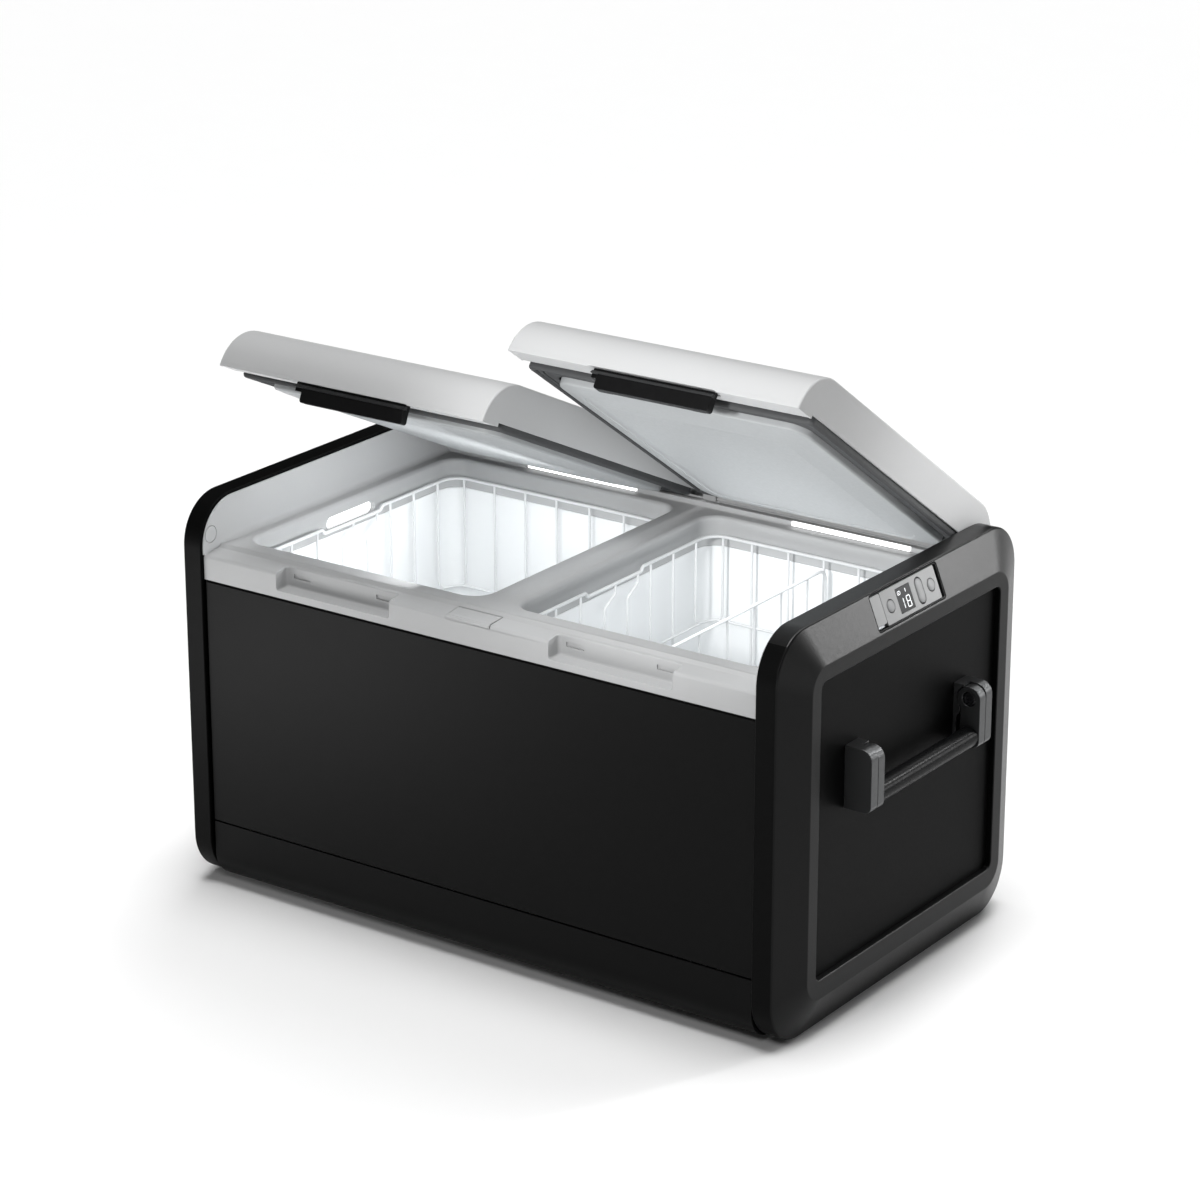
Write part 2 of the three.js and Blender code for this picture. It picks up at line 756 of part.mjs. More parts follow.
// --------------------------------------------------------------------- lids
// closed-position outline of the lid in (y, z)
function lidOutline(inset) {
  const r = LID_ARC_R - inset;
  const cz = LID_TOP_Z - LID_ARC_R;
  const pts = [];
  const cy = BODY_HALF_Y + 3 - LID_ARC_R;
  for (let i = 0; i <= 7; i++) {
    const a = (Math.PI / 2) * (i / 7);
    pts.push([cy + r * Math.cos(a), cz + r * Math.sin(a)]);
  }
  for (let i = 0; i <= 7; i++) {
    const a = Math.PI / 2 + (Math.PI / 2) * (i / 7);
    pts.push([-cy + r * Math.cos(a), cz + r * Math.sin(a)]);
  }
  pts.push([-cy - r, LID_LIP_Z - 3], [cy + r, LID_LIP_Z - 3]);
  return pts;
}
function lidShell() {
  const outer = prismX(lidOutline(0), LID_X0, LID_X1);
  let s = outer.subtract(prismX(lidOutline(3), LID_X0 + 3, LID_X1 - 3));
  // front lip and rear barrel inside the shell
  s = s.add(
    box(LID_X0 + 1, LID_X1 - 1, -243.5, -216, LID_LIP_Z, LID_LIP_Z + 10),
  );
  s = s.add(
    cylinder("x", 7, LID_X0 + 1, LID_X1 - 1, HINGE_Y, HINGE_Z, 16).intersect(
      outer,
    ),
  );
  // skirts: sides end higher than the lip
  s = s
    .subtract(box(0, 400, -300, 300, 300, LID_LIP_Z))
    .subtract(box(0, 400, -214, 241, 300, LID_SIDE_Z));
  // notch for the latch, clearance for the hinge posts, bore for the rod
  s = s
    .subtract(box(LATCH_X0 - 1, LATCH_X1 + 1, -260, -228, 300, LID_LIP_Z + 1))
    .subtract(box(LATCH_X0 - 1, LATCH_X1 + 1, -242.3, -228, 300, LID_LIP_Z + 7.5))
    .subtract(box(-10, 9.6, 228.5, 260, 300, 500))
    .subtract(box(361.4, 400, 228.5, 260, 300, 500))
    .subtract(cylinder("x", 3, 0, 400, HINGE_Y, HINGE_Z, 16));
  return s;
}
function lidLiner() {
  // plug with a sloping border and a flat centre; hollow from above
  const ring = (g, z, r) =>
    onZ(roundRect(27.5 + g, 351 - g, -185 + g, 192 - g, r, r, 4), z);
  const outer = loft([ring(30, 406, 16), ring(1, 416, 24), ring(0, 430, 25)]);
  const inner = loft([
    ring(32, 409, 15),
    ring(4, 418.5, 22),
    ring(3, 440, 22),
  ]);
  return outer.subtract(inner);
}
function lidGasket() {
  const ring = (g, z, r) =>
    onZ(roundRect(6 + g, 371 - g, -206 + g, 208 - g, r, r, 3), z);
  return loft([
    ring(2.5, 415.6, 9),
    ring(0, 419, 10),
    ring(2.5, 424, 9),
    ring(2.5, 426.5, 9),
  ]).subtract(
    prismZ(roundRect(26.6, 351.9, -185.9, 192.9, 25.9, 25.9, 3), 400, 440),
  );
}
function latch() {
  // grip hanging from the front lip, with two hooks for the striker slots
  const c = (LATCH_X0 + LATCH_X1) / 2;
  let s = prismX(
    [
      [-241.8, 424],
      [-241.8, 417.5],
      [-242.8, 416.5],
      [-241.4, 399],
      [-232.5, 398],
      [-231, 402],
      [-231, 424],
    ],
    LATCH_X0,
    LATCH_X1,
  );
  for (const d of [-59, 59])
    s = s.add(
      prismX(
        [
          [-231.5, 400],
          [-224.5, 400],
          [-223.3, 401.5],
          [-223.3, 402.6],
          [-231.5, 402.6],
        ],
        c + d - 9,
        c + d + 9,
      ),
    );
  return s.add(box(LATCH_X0 + 12, LATCH_X1 - 12, -236, -229, 418, 424.4));
}
for (const [side, put, angle] of [
  ["right", (s) => s, RIGHT_LID_OPEN],
  ["left", mirrored, LEFT_LID_OPEN],
]) {
  const hinge = new THREE.Group();
  hinge.position.set(0, HINGE_Y, HINGE_Z);
  hinge.rotation.x = -THREE.MathUtils.degToRad(angle);
  const inside = new THREE.Group();
  inside.position.set(0, -HINGE_Y, -HINGE_Z);
  hinge.add(inside);
  group.add(hinge);
  add(side + "_lid_shell", put(lidShell()), "lid", inside);
  add(side + "_lid_liner", put(lidLiner()), "lidliner", inside);
  add(side + "_lid_gasket", put(lidGasket()), "seal", inside);
  add(side + "_latch", put(latch()), "black", inside);
  add(
    side + "_hinge_rod",
    put(cylinder("x", 2.5, 0.3, 370, HINGE_Y, HINGE_Z, 16)),
    "steel",
  );
}

// ------------------------------------------------------------------ baskets
function basket(bottom, divider) {
  const x0 = 31,
    x1 = 347,
    y0 = -180,
    y1 = 187,
    zr = 397,
    w = 3;
  const rim = (z, h) =>
    prismZ(roundRect(x0, x1, y0, y1, 20, 20, 3), z, z + h).subtract(
      prismZ(roundRect(x0 + w, x1 - w, y0 + w, y1 - w, 17, 17, 3), z - 1, z + 10),
    );
  let s = rim(zr - w, w).add(rim(bottom, w));
  // upright wires, each bedded in the top and bottom rails
  const uprights = [];
  for (const x of [70, 130, 190, 250, 310])
    uprights.push([x, y0], [x, y1 - w]);
  for (const y of [-135, -75, -15, 45, 105, 155])
    uprights.push([x0, y], [x1 - w, y]);
  for (const [x, y] of uprights)
    s = s.add(
      box(x + 0.3, x + w - 0.3, y + 0.3, y + w - 0.3, bottom + 1.1, zr - 1.1),
    );
  // floor wires
  for (const x of [100, 160, 220, 280])
    s = s.add(
      box(x, x + w, y0 + 1.2, y1 - 1.2, bottom + 0.35, bottom + w - 0.45),
    );
  for (const y of [-95, 10, 80])
    s = s.add(
      box(x0 + 1.3, x1 - 1.3, y, y + w, bottom + 0.85, bottom + w + 0.6),
    );
  if (divider)
    for (const z of [zr - 13, zr - 90])
      s = s.add(box(190.7, 192.3, y0 + 1.6, y1 - 1.6, z, z + w));
  return s;
}
add("left_basket", mirrored(basket(LEFT_TUB_FLOOR + 0.4, false)), "wire");
add("right_basket", basket(RIGHT_TUB_FLOOR + 0.4, true), "wire");

export default group;
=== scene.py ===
import math

import bmesh
import bpy
from mathutils import Matrix, Vector


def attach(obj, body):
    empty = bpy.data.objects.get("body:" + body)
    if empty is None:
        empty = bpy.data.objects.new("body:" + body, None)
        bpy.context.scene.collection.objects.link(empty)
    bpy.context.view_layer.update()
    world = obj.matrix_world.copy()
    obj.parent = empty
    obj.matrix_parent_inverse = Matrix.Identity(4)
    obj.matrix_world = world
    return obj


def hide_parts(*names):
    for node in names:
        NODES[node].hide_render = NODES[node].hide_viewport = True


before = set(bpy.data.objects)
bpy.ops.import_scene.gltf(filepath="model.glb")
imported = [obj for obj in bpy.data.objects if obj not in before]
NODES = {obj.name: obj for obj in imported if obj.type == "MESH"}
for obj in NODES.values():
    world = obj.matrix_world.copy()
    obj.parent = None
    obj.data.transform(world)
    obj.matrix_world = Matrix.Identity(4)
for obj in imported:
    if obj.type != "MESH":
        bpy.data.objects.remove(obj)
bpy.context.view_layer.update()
MM = 0.001
scene = bpy.context.scene

# ------------------------------------------------------------------ dimensions
# millimetres, as in the frame
HALF_DEPTH, TOP_Z, CAP_BOTTOM_Z = 247.5, 472.0, 3.0
CAP_IN_X, CAP_BAND_X, CAP_FACE_X, CAP_CHAMFER = 376.4, 401.4, 419.0, 43.5
BODY_HALF_X, BODY_HALF_Y = 376.1, 242.5
SEAM_Z, STRIP_LOW_Z, LEDGE_Z, LAND_Z = 81.5, 379.0, 411.5, 415.0
OPEN_X0, OPEN_X1, OPEN_Y0, OPEN_Y1, OPEN_R = 22.5, 356.0, -190.0, 197.0, 25.0
HINGE_Y, HINGE_Z = 236.0, 438.0
LID_OPEN = {"left": 25.0, "right": 34.7}
LID_X0, LID_X1, LID_TOP_Z, LID_ARC_R = 3.0, 373.5, 471.0, 54.0
LID_SIDE_Z, LID_LIP_Z = 424.5, 420.0
LATCH_X0, LATCH_X1 = 115.0, 262.0
RECESS_X0, RECESS_X1, RECESS_Z, RECESS_Y = 108.5, 269.5, 388.0, -222.5
PIVOT_X, PIVOT_Z, GRIP_X, GRIP_Z = 431.5, 305.0, 433.5, 262.0
BRACKET_Y0, BRACKET_Y1, ARM_Y1, HANDLE_X = 100.0, 127.0, 113.2, 446.0

# --------------------------------------------------------------------- camera
AZ, EL = math.radians(35.295), math.radians(19.871)
right = Vector((math.cos(AZ), math.sin(AZ), 0))
back = Vector((math.sin(AZ) * math.cos(EL), -math.cos(AZ) * math.cos(EL), math.sin(EL)))
up = back.cross(right)
cam_data = bpy.data.cameras.new("camera")
cam = bpy.data.objects.new("camera", cam_data)
scene.collection.objects.link(cam)
cam_data.sensor_width = 36.0
cam_data.lens = 115.773
cam_data.clip_start, cam_data.clip_end = 0.05, 100
cam.matrix_world = Matrix(
    (
        (right.x, up.x, back.x, 2.38794),
        (right.y, up.y, back.y, -3.36629),
        (right.z, up.z, back.z, 1.85257),
        (0, 0, 0, 1),
    )
)
scene.camera = cam


# ------------------------------------------------------------------ materials
def material(
    name,
    color,
    rough=0.45,
    metallic=0.0,
    specular=0.5,
    rough_var=0.05,
    mottle=0.04,
    grain=0.0,
    grain_scale=1500.0,
    wave=0.0,
    edge_wear_and_highlight=0.0,
    emission=0.0,
    coat=0.0,
    brushed=None,
):
    """Moulded plastic, paint or metal: slow colour drift, uneven gloss, and a fine surface grain."""
    m = bpy.data.materials.new(name)
    m.use_nodes = True
    m.diffuse_color = (*color, 1)
    nt = m.node_tree
    n, link = nt.nodes, nt.links
    n.clear()
    out = n.new("ShaderNodeOutputMaterial")
    b = n.new("ShaderNodeBsdfPrincipled")
    link.new(b.outputs[0], out.inputs[0])
    tc = n.new("ShaderNodeTexCoord")
    slow = n.new("ShaderNodeTexNoise")
    slow.inputs["Scale"].default_value = 9.0
    slow.inputs["Detail"].default_value = 5.0
    link.new(tc.outputs["Object"], slow.inputs["Vector"])
    mix = n.new("ShaderNodeMix")
    mix.data_type = "RGBA"
    lo = [c * (1 - mottle) for c in color]
    hi = [min(1.0, c * (1 + mottle)) for c in color]
    mix.inputs[6].default_value = (*lo, 1)
    mix.inputs[7].default_value = (*hi, 1)
    link.new(slow.outputs["Fac"], mix.inputs[0])
    colour_out = mix.outputs[2]
    # painted highlight, partly edge wear: sharp edges (high pointiness) are lightened towards a paler colour
    if edge_wear_and_highlight:
        geo = n.new("ShaderNodeNewGeometry")
        ramp = n.new("ShaderNodeMapRange")
        ramp.inputs["From Min"].default_value = 0.52
        ramp.inputs["From Max"].default_value = 0.62
        ramp.inputs["To Max"].default_value = edge_wear_and_highlight
        link.new(geo.outputs["Pointiness"], ramp.inputs["Value"])
        mix2 = n.new("ShaderNodeMix")
        mix2.data_type = "RGBA"
        mix2.inputs[7].default_value = (*[min(1.0, c * 1.6 + 0.05) for c in color], 1)
        link.new(ramp.outputs[0], mix2.inputs[0])
        link.new(colour_out, mix2.inputs[6])
        colour_out = mix2.outputs[2]
    link.new(colour_out, b.inputs["Base Color"])
    fine = n.new("ShaderNodeTexNoise")
    fine.inputs["Scale"].default_value = 240.0
    fine.inputs["Detail"].default_value = 6.0
    link.new(tc.outputs["Object"], fine.inputs["Vector"])
    rr_ = n.new("ShaderNodeMapRange")
    rr_.inputs["From Min"].default_value = 0.3
    rr_.inputs["From Max"].default_value = 0.7
    rr_.inputs["To Min"].default_value = max(0.02, rough - rough_var)
    rr_.inputs["To Max"].default_value = min(1.0, rough + rough_var)
    link.new(fine.outputs["Fac"], rr_.inputs["Value"])
    link.new(rr_.outputs[0], b.inputs["Roughness"])
    b.inputs["Metallic"].default_value = metallic
    b.inputs["Specular IOR Level"].default_value = specular
    b.inputs["Coat Weight"].default_value = coat
    b.inputs["Coat Roughness"].default_value = 0.15
    if grain:
        g = n.new("ShaderNodeTexVoronoi")
        g.inputs["Scale"].default_value = grain_scale
        if brushed:
            mp = n.new("ShaderNodeMapping")
            mp.inputs["Scale"].default_value = brushed
            link.new(tc.outputs["Object"], mp.inputs["Vector"])
            link.new(mp.outputs[0], g.inputs["Vector"])
        else:
            link.new(tc.outputs["Object"], g.inputs["Vector"])
        bump = n.new("ShaderNodeBump")
        bump.inputs["Strength"].default_value = grain
        bump.inputs["Distance"].default_value = 0.0002
        link.new(g.outputs["Distance"], bump.inputs["Height"])
        last = bump
        if wave:
            w = n.new("ShaderNodeTexNoise")
            w.inputs["Scale"].default_value = 14.0
            link.new(tc.outputs["Object"], w.inputs["Vector"])
            b2 = n.new("ShaderNodeBump")
            b2.inputs["Strength"].default_value = wave
            b2.inputs["Distance"].default_value = 0.001
            link.new(w.outputs["Fac"], b2.inputs["Height"])
            link.new(bump.outputs[0], b2.inputs["Normal"])
            last = b2
        link.new(last.outputs[0], b.inputs["Normal"])
    if emission:
        b.inputs["Emission Color"].default_value = (*color, 1)
        b.inputs["Emission Strength"].default_value = emission
    return m


# painted shade: a darker, less reflective copy of the cap plastic for cap faces in shade
CAP_SHADED = material("cap_black_shaded", (0.003, 0.0031, 0.0031), 0.4, specular=0.04, rough_var=0.02, grain=0.12)
CAP = material("cap_black", (0.0045, 0.0046, 0.0047), 0.31, specular=0.12, rough_var=0.02, grain=0.12, edge_wear_and_highlight=0.1)
PANEL = material("panel_black", (0.0032, 0.0033, 0.0033), 0.4, specular=0.07, rough_var=0.02, grain=0.16, grain_scale=2200)
PLATE = material("side_plate_black", (0.003, 0.0031, 0.0031), 0.46, specular=0.04, rough_var=0.02, grain=0.2, grain_scale=1500)
FRAME = material("frame_grey", (0.455, 0.46, 0.463), 0.5, specular=0.3, grain=0.08)
LID = material("lid_grey", (0.45, 0.454, 0.457), 0.45, specular=0.3, grain=0.08, wave=0.02)
TUB = material("liner_white", (0.83, 0.845, 0.85), 0.4, specular=0.3, mottle=0.015, grain=0.04)
LINER = material("lid_liner_grey", (0.33, 0.341, 0.347), 0.42, specular=0.3, grain=0.06, wave=0.03)
SEAL = material("gasket_grey", (0.055, 0.0565, 0.0585), 0.6, specular=0.3, grain=0.1, grain_scale=900)
RUBBER = material("rubber_black", (0.010, 0.010, 0.010), 0.75, specular=0.15, grain=0.35, grain_scale=900)
TRIM = material("trim_black", (0.004, 0.004, 0.0042), 0.4, specular=0.15, grain=0.14)
TRIM_GREY = material("trim_dark_grey", (0.03, 0.031, 0.032), 0.45, specular=0.3, grain=0.15)
GRIP = material("grip_black", (0.004, 0.0042, 0.0044), 0.3, specular=0.06)
WIRE = material("wire_white", (0.68, 0.69, 0.695), 0.32, specular=0.3, grain=0.05)
FOAM = material("foam_core", (0.72, 0.62, 0.38), 0.9, specular=0.1, mottle=0.1, grain=0.9, grain_scale=500)
ALU = material("bare_aluminium", (0.62, 0.63, 0.64), 0.34, metallic=1.0, grain=0.12, grain_scale=700, brushed=(1, 1, 14))
ENAMEL = material("compressor_black", (0.01, 0.01, 0.01), 0.28, coat=0.5, grain=0.1, grain_scale=300)
HANDLE = material("handle_metal", (0.07, 0.0715, 0.073), 0.36, metallic=0.9, rough_var=0.06, grain=0.2, grain_scale=1800, edge_wear_and_highlight=0.15)
# painted shade: a dark copy of the handle metal for the handle faces that face front and back
HANDLE_SIDE_SHADE = material("handle_metal_shaded_sides", (0.022, 0.0225, 0.023), 0.46, specular=0.22, grain=0.2, grain_scale=1800)
STEEL = material("steel", (0.48, 0.48, 0.49), 0.28, metallic=1.0, grain=0.1, grain_scale=900, brushed=(12, 1, 1))
BOLT = material("bolt_dark", (0.008, 0.008, 0.009), 0.3, specular=0.4, grain=0.08)
SILVER = material("panel_silver", (0.30, 0.303, 0.305), 0.42, specular=0.12, rough_var=0.02, grain=0.06, grain_scale=2500)
SILVER_DARK = material("flap_silver", (0.33, 0.333, 0.336), 0.42, specular=0.12, rough_var=0.02, grain=0.06, grain_scale=2500)
KEY = material("key_grey", (0.24, 0.243, 0.246), 0.35, specular=0.2, grain=0.08, grain_scale=2500)
DISPLAY = material("display_dark", (0.045, 0.046, 0.047), 0.4, specular=0.08, mottle=0.02)
DIGIT = material("display_digits", (0.8, 0.82, 0.84), 0.4, emission=0.35)
LAMP = material("lamp_white", (1.0, 1.0, 1.0), 0.4, emission=1.6)
GLOW = material("slot_glow", (1.0, 1.0, 1.0), 0.5, emission=0.45)
MACHINE = material("machine_black", (0.012, 0.012, 0.0125), 0.5, grain=0.12)
DECK = material("module_grey", (0.24, 0.25, 0.26), 0.4, metallic=0.8, grain=0.15)


# painted sheen: the cap plastic reflects more the further each face tilts upwards
cap_nodes, cap_links = CAP.node_tree.nodes, CAP.node_tree.links
cap_geo = cap_nodes.new("ShaderNodeNewGeometry")
cap_split = cap_nodes.new("ShaderNodeSeparateXYZ")
cap_upward_sheen_map = cap_nodes.new("ShaderNodeMapRange")
cap_upward_sheen_map.inputs["From Max"].default_value = 0.36
cap_upward_sheen_map.inputs["To Min"].default_value = 0.11
cap_upward_sheen_map.inputs["To Max"].default_value = 0.30
cap_links.new(cap_geo.outputs["Normal"], cap_split.inputs[0])
cap_links.new(cap_split.outputs["Z"], cap_upward_sheen_map.inputs["Value"])
cap_bsdf = next(q for q in cap_nodes if q.type == "BSDF_PRINCIPLED")
cap_links.new(cap_upward_sheen_map.outputs[0], cap_bsdf.inputs["Specular IOR Level"])


# ------------------------------------------------------------------- outlines
def rr(u0, u1, v0, v1, r, n=10, r2=None):
    """rounded rectangle, anticlockwise; r2 is the radius at the low-v corners"""
    r2 = r if r2 is None else r2
    pts = []
    for cu, cv, rad, a0 in (
        (u1 - r, v1 - r, r, 0.0),
        (u0 + r, v1 - r, r, 90.0),
        (u0 + r2, v0 + r2, r2, 180.0),
        (u1 - r2, v0 + r2, r2, 270.0),
    ):
        for i in range(n + 1):
            a = math.radians(a0 + 90.0 * i / n)
            pts.append((cu + rad * math.cos(a), cv + rad * math.sin(a)))
    return pts


def fillet(pts, n=5):
    """polyline or polygon with each corner (u, v, radius) rounded; radius 0 stays sharp"""
    out = []
    k = len(pts)
    for i, (u, v, r) in enumerate(pts):
        p = Vector((u, v))
        if r <= 0:
            out.append((u, v))
            continue
        a, c = Vector(pts[i - 1][:2]), Vector(pts[(i + 1) % k][:2])
        d1, d2 = (a - p), (c - p)
        l1, l2 = d1.length, d2.length
        d1.normalize()
        d2.normalize()
        ang = d1.angle(d2)
        if math.pi - ang < 1e-3:
            out.append((u, v))
            continue
        t = min(r / math.tan(ang / 2), 0.49 * l1, 0.49 * l2)
        rad = t * math.tan(ang / 2)
        centre = p + (d1 + d2).normalized() * (rad / math.sin(ang / 2))
        s, e = p + d1 * t, p + d2 * t
        a0 = math.atan2(s.y - centre.y, s.x - centre.x)
        a1 = math.atan2(e.y - centre.y, e.x - centre.x)
        da = (a1 - a0 + math.pi) % (2 * math.pi) - math.pi
        for j in range(n + 1):
            q = a0 + da * j / n
            out.append((centre.x + rad * math.cos(q), centre.y + rad * math.sin(q)))
    return out


def circle(u, v, r, n=48):
    return [
        (u + r * math.cos(2 * math.pi * i / n), v + r * math.sin(2 * math.pi * i / n))
        for i in range(n)
    ]


def oval(u, v, r, half, n=16):
    pts = []
    for i in range(n + 1):
        a = math.pi * i / n
        pts.append((u + r * math.cos(a), v + half + r * math.sin(a)))
    for i in range(n + 1):
        a = math.pi + math.pi * i / n
        pts.append((u + r * math.cos(a), v - half + r * math.sin(a)))
    return pts


# --------------------------------------------------------------------- meshes
def build(name, verts, faces):
    """an object from millimetre vertices, normals outwards"""
    me = bpy.data.meshes.new(name)
    me.from_pydata([(x * MM, y * MM, z * MM) for x, y, z in verts], [], faces)
    bm = bmesh.new()
    bm.from_mesh(me)
    bmesh.ops.remove_doubles(bm, verts=bm.verts, dist=1e-6)
    bmesh.ops.recalc_face_normals(bm, faces=bm.faces)
    bm.to_mesh(me)
    bm.free()
    ob = bpy.data.objects.new(name, me)
    scene.collection.objects.link(ob)
    return ob


def loft_data(rings, closed=False, caps=True):
    n = len(rings[0])
    verts = [p for ring in rings for p in ring]
    faces = []
    steps = len(rings) if closed else len(rings) - 1
    for k in range(steps):
        a, b = k * n, ((k + 1) % len(rings)) * n
        for i in range(n):
            j = (i + 1) % n
            faces.append((a + i, a + j, b + j, b + i))
    if caps and not closed:
        faces.append(tuple(range(n))[::-1])
        faces.append(tuple((len(rings) - 1) * n + i for i in range(n)))
    return verts, faces


def loft(name, rings, closed=False, caps=True):
    return build(name, *loft_data(rings, closed, caps))


def on(axis, pts, a):
    if axis == "x":
        return [(a, u, v) for u, v in pts]
    if axis == "y":
        return [(u, a, v) for u, v in pts]
    return [(u, v, a) for u, v in pts]


def prism(name, axis, pts, a, b, flip=False):
    return loft(name, [on(axis, pts, a), on(axis, pts, b)])


def offset(pts, d):
    """moves an outline inwards by d"""
    n = len(pts)
    twice = sum(pts[i - 1][0] * pts[i][1] - pts[i][0] * pts[i - 1][1] for i in range(n))
    sign = 1.0 if twice > 0 else -1.0
    out = []
    for i in range(n):
        p0, p1, p2 = Vector(pts[i - 1]), Vector(pts[i]), Vector(pts[(i + 1) % n])
        a, b = (p1 - p0).normalized(), (p2 - p1).normalized()
        n1, n2 = Vector((-a.y, a.x)) * sign, Vector((-b.y, b.x)) * sign
        m = n1 + n2
        m.normalize()
        out.append(tuple(p1 + m * (d / max(0.4, m.dot(n1)))))
    return out


def rprism(name, axis, pts, a, b, r=0.8, seg=4, ends=(True, True)):
    """a prism whose long end edges are rounded by r"""
    rings = []
    if ends[0]:
        for k in range(seg + 1):
            q = math.pi / 2 * k / seg
            rings.append(on(axis, offset(pts, r * (1 - math.sin(q))), a + r * (1 - math.cos(q))))
    else:
        rings.append(on(axis, pts, a))
    if ends[1]:
        for k in range(seg, -1, -1):
            q = math.pi / 2 * k / seg
            rings.append(on(axis, offset(pts, r * (1 - math.sin(q))), b - r * (1 - math.cos(q))))
    else:
        rings.append(on(axis, pts, b))
    return loft(name, rings)


def cbox(name, x0, x1, y0, y1, z0, z1):
    return prism(name, "z", [(x0, y0), (x1, y0), (x1, y1), (x0, y1)], z0, z1)


def apply_all(ob):
    dg = bpy.context.evaluated_depsgraph_get()
    me = bpy.data.meshes.new_from_object(ob.evaluated_get(dg), depsgraph=dg)
    old = ob.data
    ob.modifiers.clear()
    ob.data = me
    bpy.data.meshes.remove(old)
    return ob


def boolean(ob, others, op="DIFFERENCE"):
    for other in others:
        m = ob.modifiers.new("b", "BOOLEAN")
        m.object, m.operation, m.solver = other, op, "EXACT"
    apply_all(ob)
    for other in others:
        bpy.data.objects.remove(other)
    return ob


def cut(ob, *others):
    return boolean(ob, others, "DIFFERENCE")


def unite(ob, *others):
    return boolean(ob, others, "UNION")


def mirror_x(ob, name):
    """a copy on the other side of x = 0"""
    me = ob.data.copy()
    me.transform(Matrix.Scale(-1, 4, (1, 0, 0)))
    me.flip_normals()
    o = bpy.data.objects.new(name, me)
    scene.collection.objects.link(o)
    return o


def mirror_y(ob, name):
    me = ob.data.copy()
    me.transform(Matrix.Scale(-1, 4, (0, 1, 0)))
    me.flip_normals()
    o = bpy.data.objects.new(name, me)
    scene.collection.objects.link(o)
    return o


def bevel(ob, width, segments=3, angle=38, clamp=True):
    bm = bmesh.new()
    bm.from_mesh(ob.data)
    bmesh.ops.remove_doubles(bm, verts=bm.verts, dist=5e-6)
    bmesh.ops.dissolve_limit(
        bm, angle_limit=math.radians(0.3), verts=bm.verts, edges=bm.edges, delimit={"NORMAL"}
    )
    bm.to_mesh(ob.data)
    bm.free()
    m = ob.modifiers.new("edge", "BEVEL")
    m.width = width * MM
    m.segments = segments
    m.limit_method = "ANGLE"
    m.angle_limit = math.radians(angle)
    m.use_clamp_overlap = clamp
    m.miter_outer = "MITER_ARC"
    apply_all(ob)
    return ob


def done(ob, mat, body, replaces=(), angle=42, weighted=True):
    """shading, material, body, and the nodes that it stands for"""
    me = ob.data
    me.materials.clear()
    me.materials.append(mat)
    for p in me.polygons:
        p.use_smooth = True
    me.set_sharp_from_angle(angle=math.radians(angle))
    if weighted:
        w = ob.modifiers.new("normals", "WEIGHTED_NORMAL")
        w.keep_sharp = True
        w.mode = "FACE_AREA_WITH_ANGLE"
        apply_all(ob)
    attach(ob, body)
    if replaces:
        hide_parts(*([replaces] if isinstance(replaces, str) else replaces))
    return ob


def open_lid(ob, side):
    """turns a piece drawn with the lid closed to the stored opening angle"""
    p = Matrix.Translation((0, HINGE_Y * MM, HINGE_Z * MM))
    ob.data.transform(
        p @ Matrix.Rotation(-math.radians(LID_OPEN[side]), 4, "X") @ p.inverted()
    )
    return ob


def tube_data(points, r, sides=10, closed=False):
    """a round wire along points"""
    pts = [Vector(p) for p in points]
    n = len(pts)
    rings = []
    t0 = None
    frame_u = None
    for i, p in enumerate(pts):
        if closed:
            t = (pts[(i + 1) % n] - pts[i - 1]).normalized()
        elif i == 0:
            t = (pts[1] - p).normalized()
        elif i == n - 1:
            t = (p - pts[-2]).normalized()
        else:
            t = (pts[i + 1] - pts[i - 1]).normalized()
        if frame_u is None:
            ref = Vector((0, 0, 1)) if abs(t.z) < 0.9 else Vector((1, 0, 0))
            frame_u = t.cross(ref).normalized()
        else:
            frame_u = (t0.rotation_difference(t) @ frame_u)
            frame_u = (frame_u - t * frame_u.dot(t)).normalized()
        v = t.cross(frame_u)
        rings.append(
            [
                tuple(
                    p
                    + frame_u * (r * math.cos(2 * math.pi * k / sides))
                    + v * (r * math.sin(2 * math.pi * k / sides))
                )
                for k in range(sides)
            ]
        )
        t0 = t
    return loft_data(rings, closed, not closed)


def merge_data(parts):
    verts, faces = [], []
    for v, f in parts:
        o = len(verts)
        verts += v
        faces += [tuple(i + o for i in face) for face in f]
    return verts, faces


def round_path(pts, n=4):
    """3-D polyline with rounded corners: points are (x, y, z, radius)"""
    out = []
    for i, q in enumerate(pts):
        p, r = Vector(q[:3]), q[3]
        if r <= 0 or i in (0, len(pts) - 1):
            out.append(tuple(p))
            continue
        d1, d2 = Vector(pts[i - 1][:3]) - p, Vector(pts[i + 1][:3]) - p
        ang = d1.angle(d2)
        if math.pi - ang < 1e-3:
            out.append(tuple(p))
            continue
        t = min(r / math.tan(ang / 2), 0.49 * d1.length, 0.49 * d2.length)
        a, b = p + d1.normalized() * t, p + d2.normalized() * t
        for j in range(n + 1):
            s = j / n
            out.append(tuple((1 - s) ** 2 * a + 2 * s * (1 - s) * p + s * s * b))
    return out


# ------------------------------------------------------------------ end caps
SLOPE = math.hypot(CAP_FACE_X - CAP_BAND_X, CAP_CHAMFER)
DOWN = Vector(((CAP_FACE_X - CAP_BAND_X) / SLOPE, 0, -CAP_CHAMFER / SLOPE))
OUT = Vector((-DOWN.z, 0, DOWN.x))
ORIGIN = Vector((CAP_BAND_X, 0, TOP_Z))


def on_slope(pts, d):
    """outline in (y, down the slope) at height d over the sloping control face"""
    return [tuple(ORIGIN + Vector((0, u, 0)) + DOWN * s + OUT * d) for u, s in pts]


def slope_loft(name, rings):
    return loft(name, [on_slope(p, d) for p, d in rings])


def cap_ring(x, inset, r, n=14):
    return on(
        "x",
        rr(
            -HALF_DEPTH + inset,
            HALF_DEPTH - inset,
            CAP_BOTTOM_Z + inset,
            TOP_Z - inset,
            r,
            n,
        ),
        x,
    )


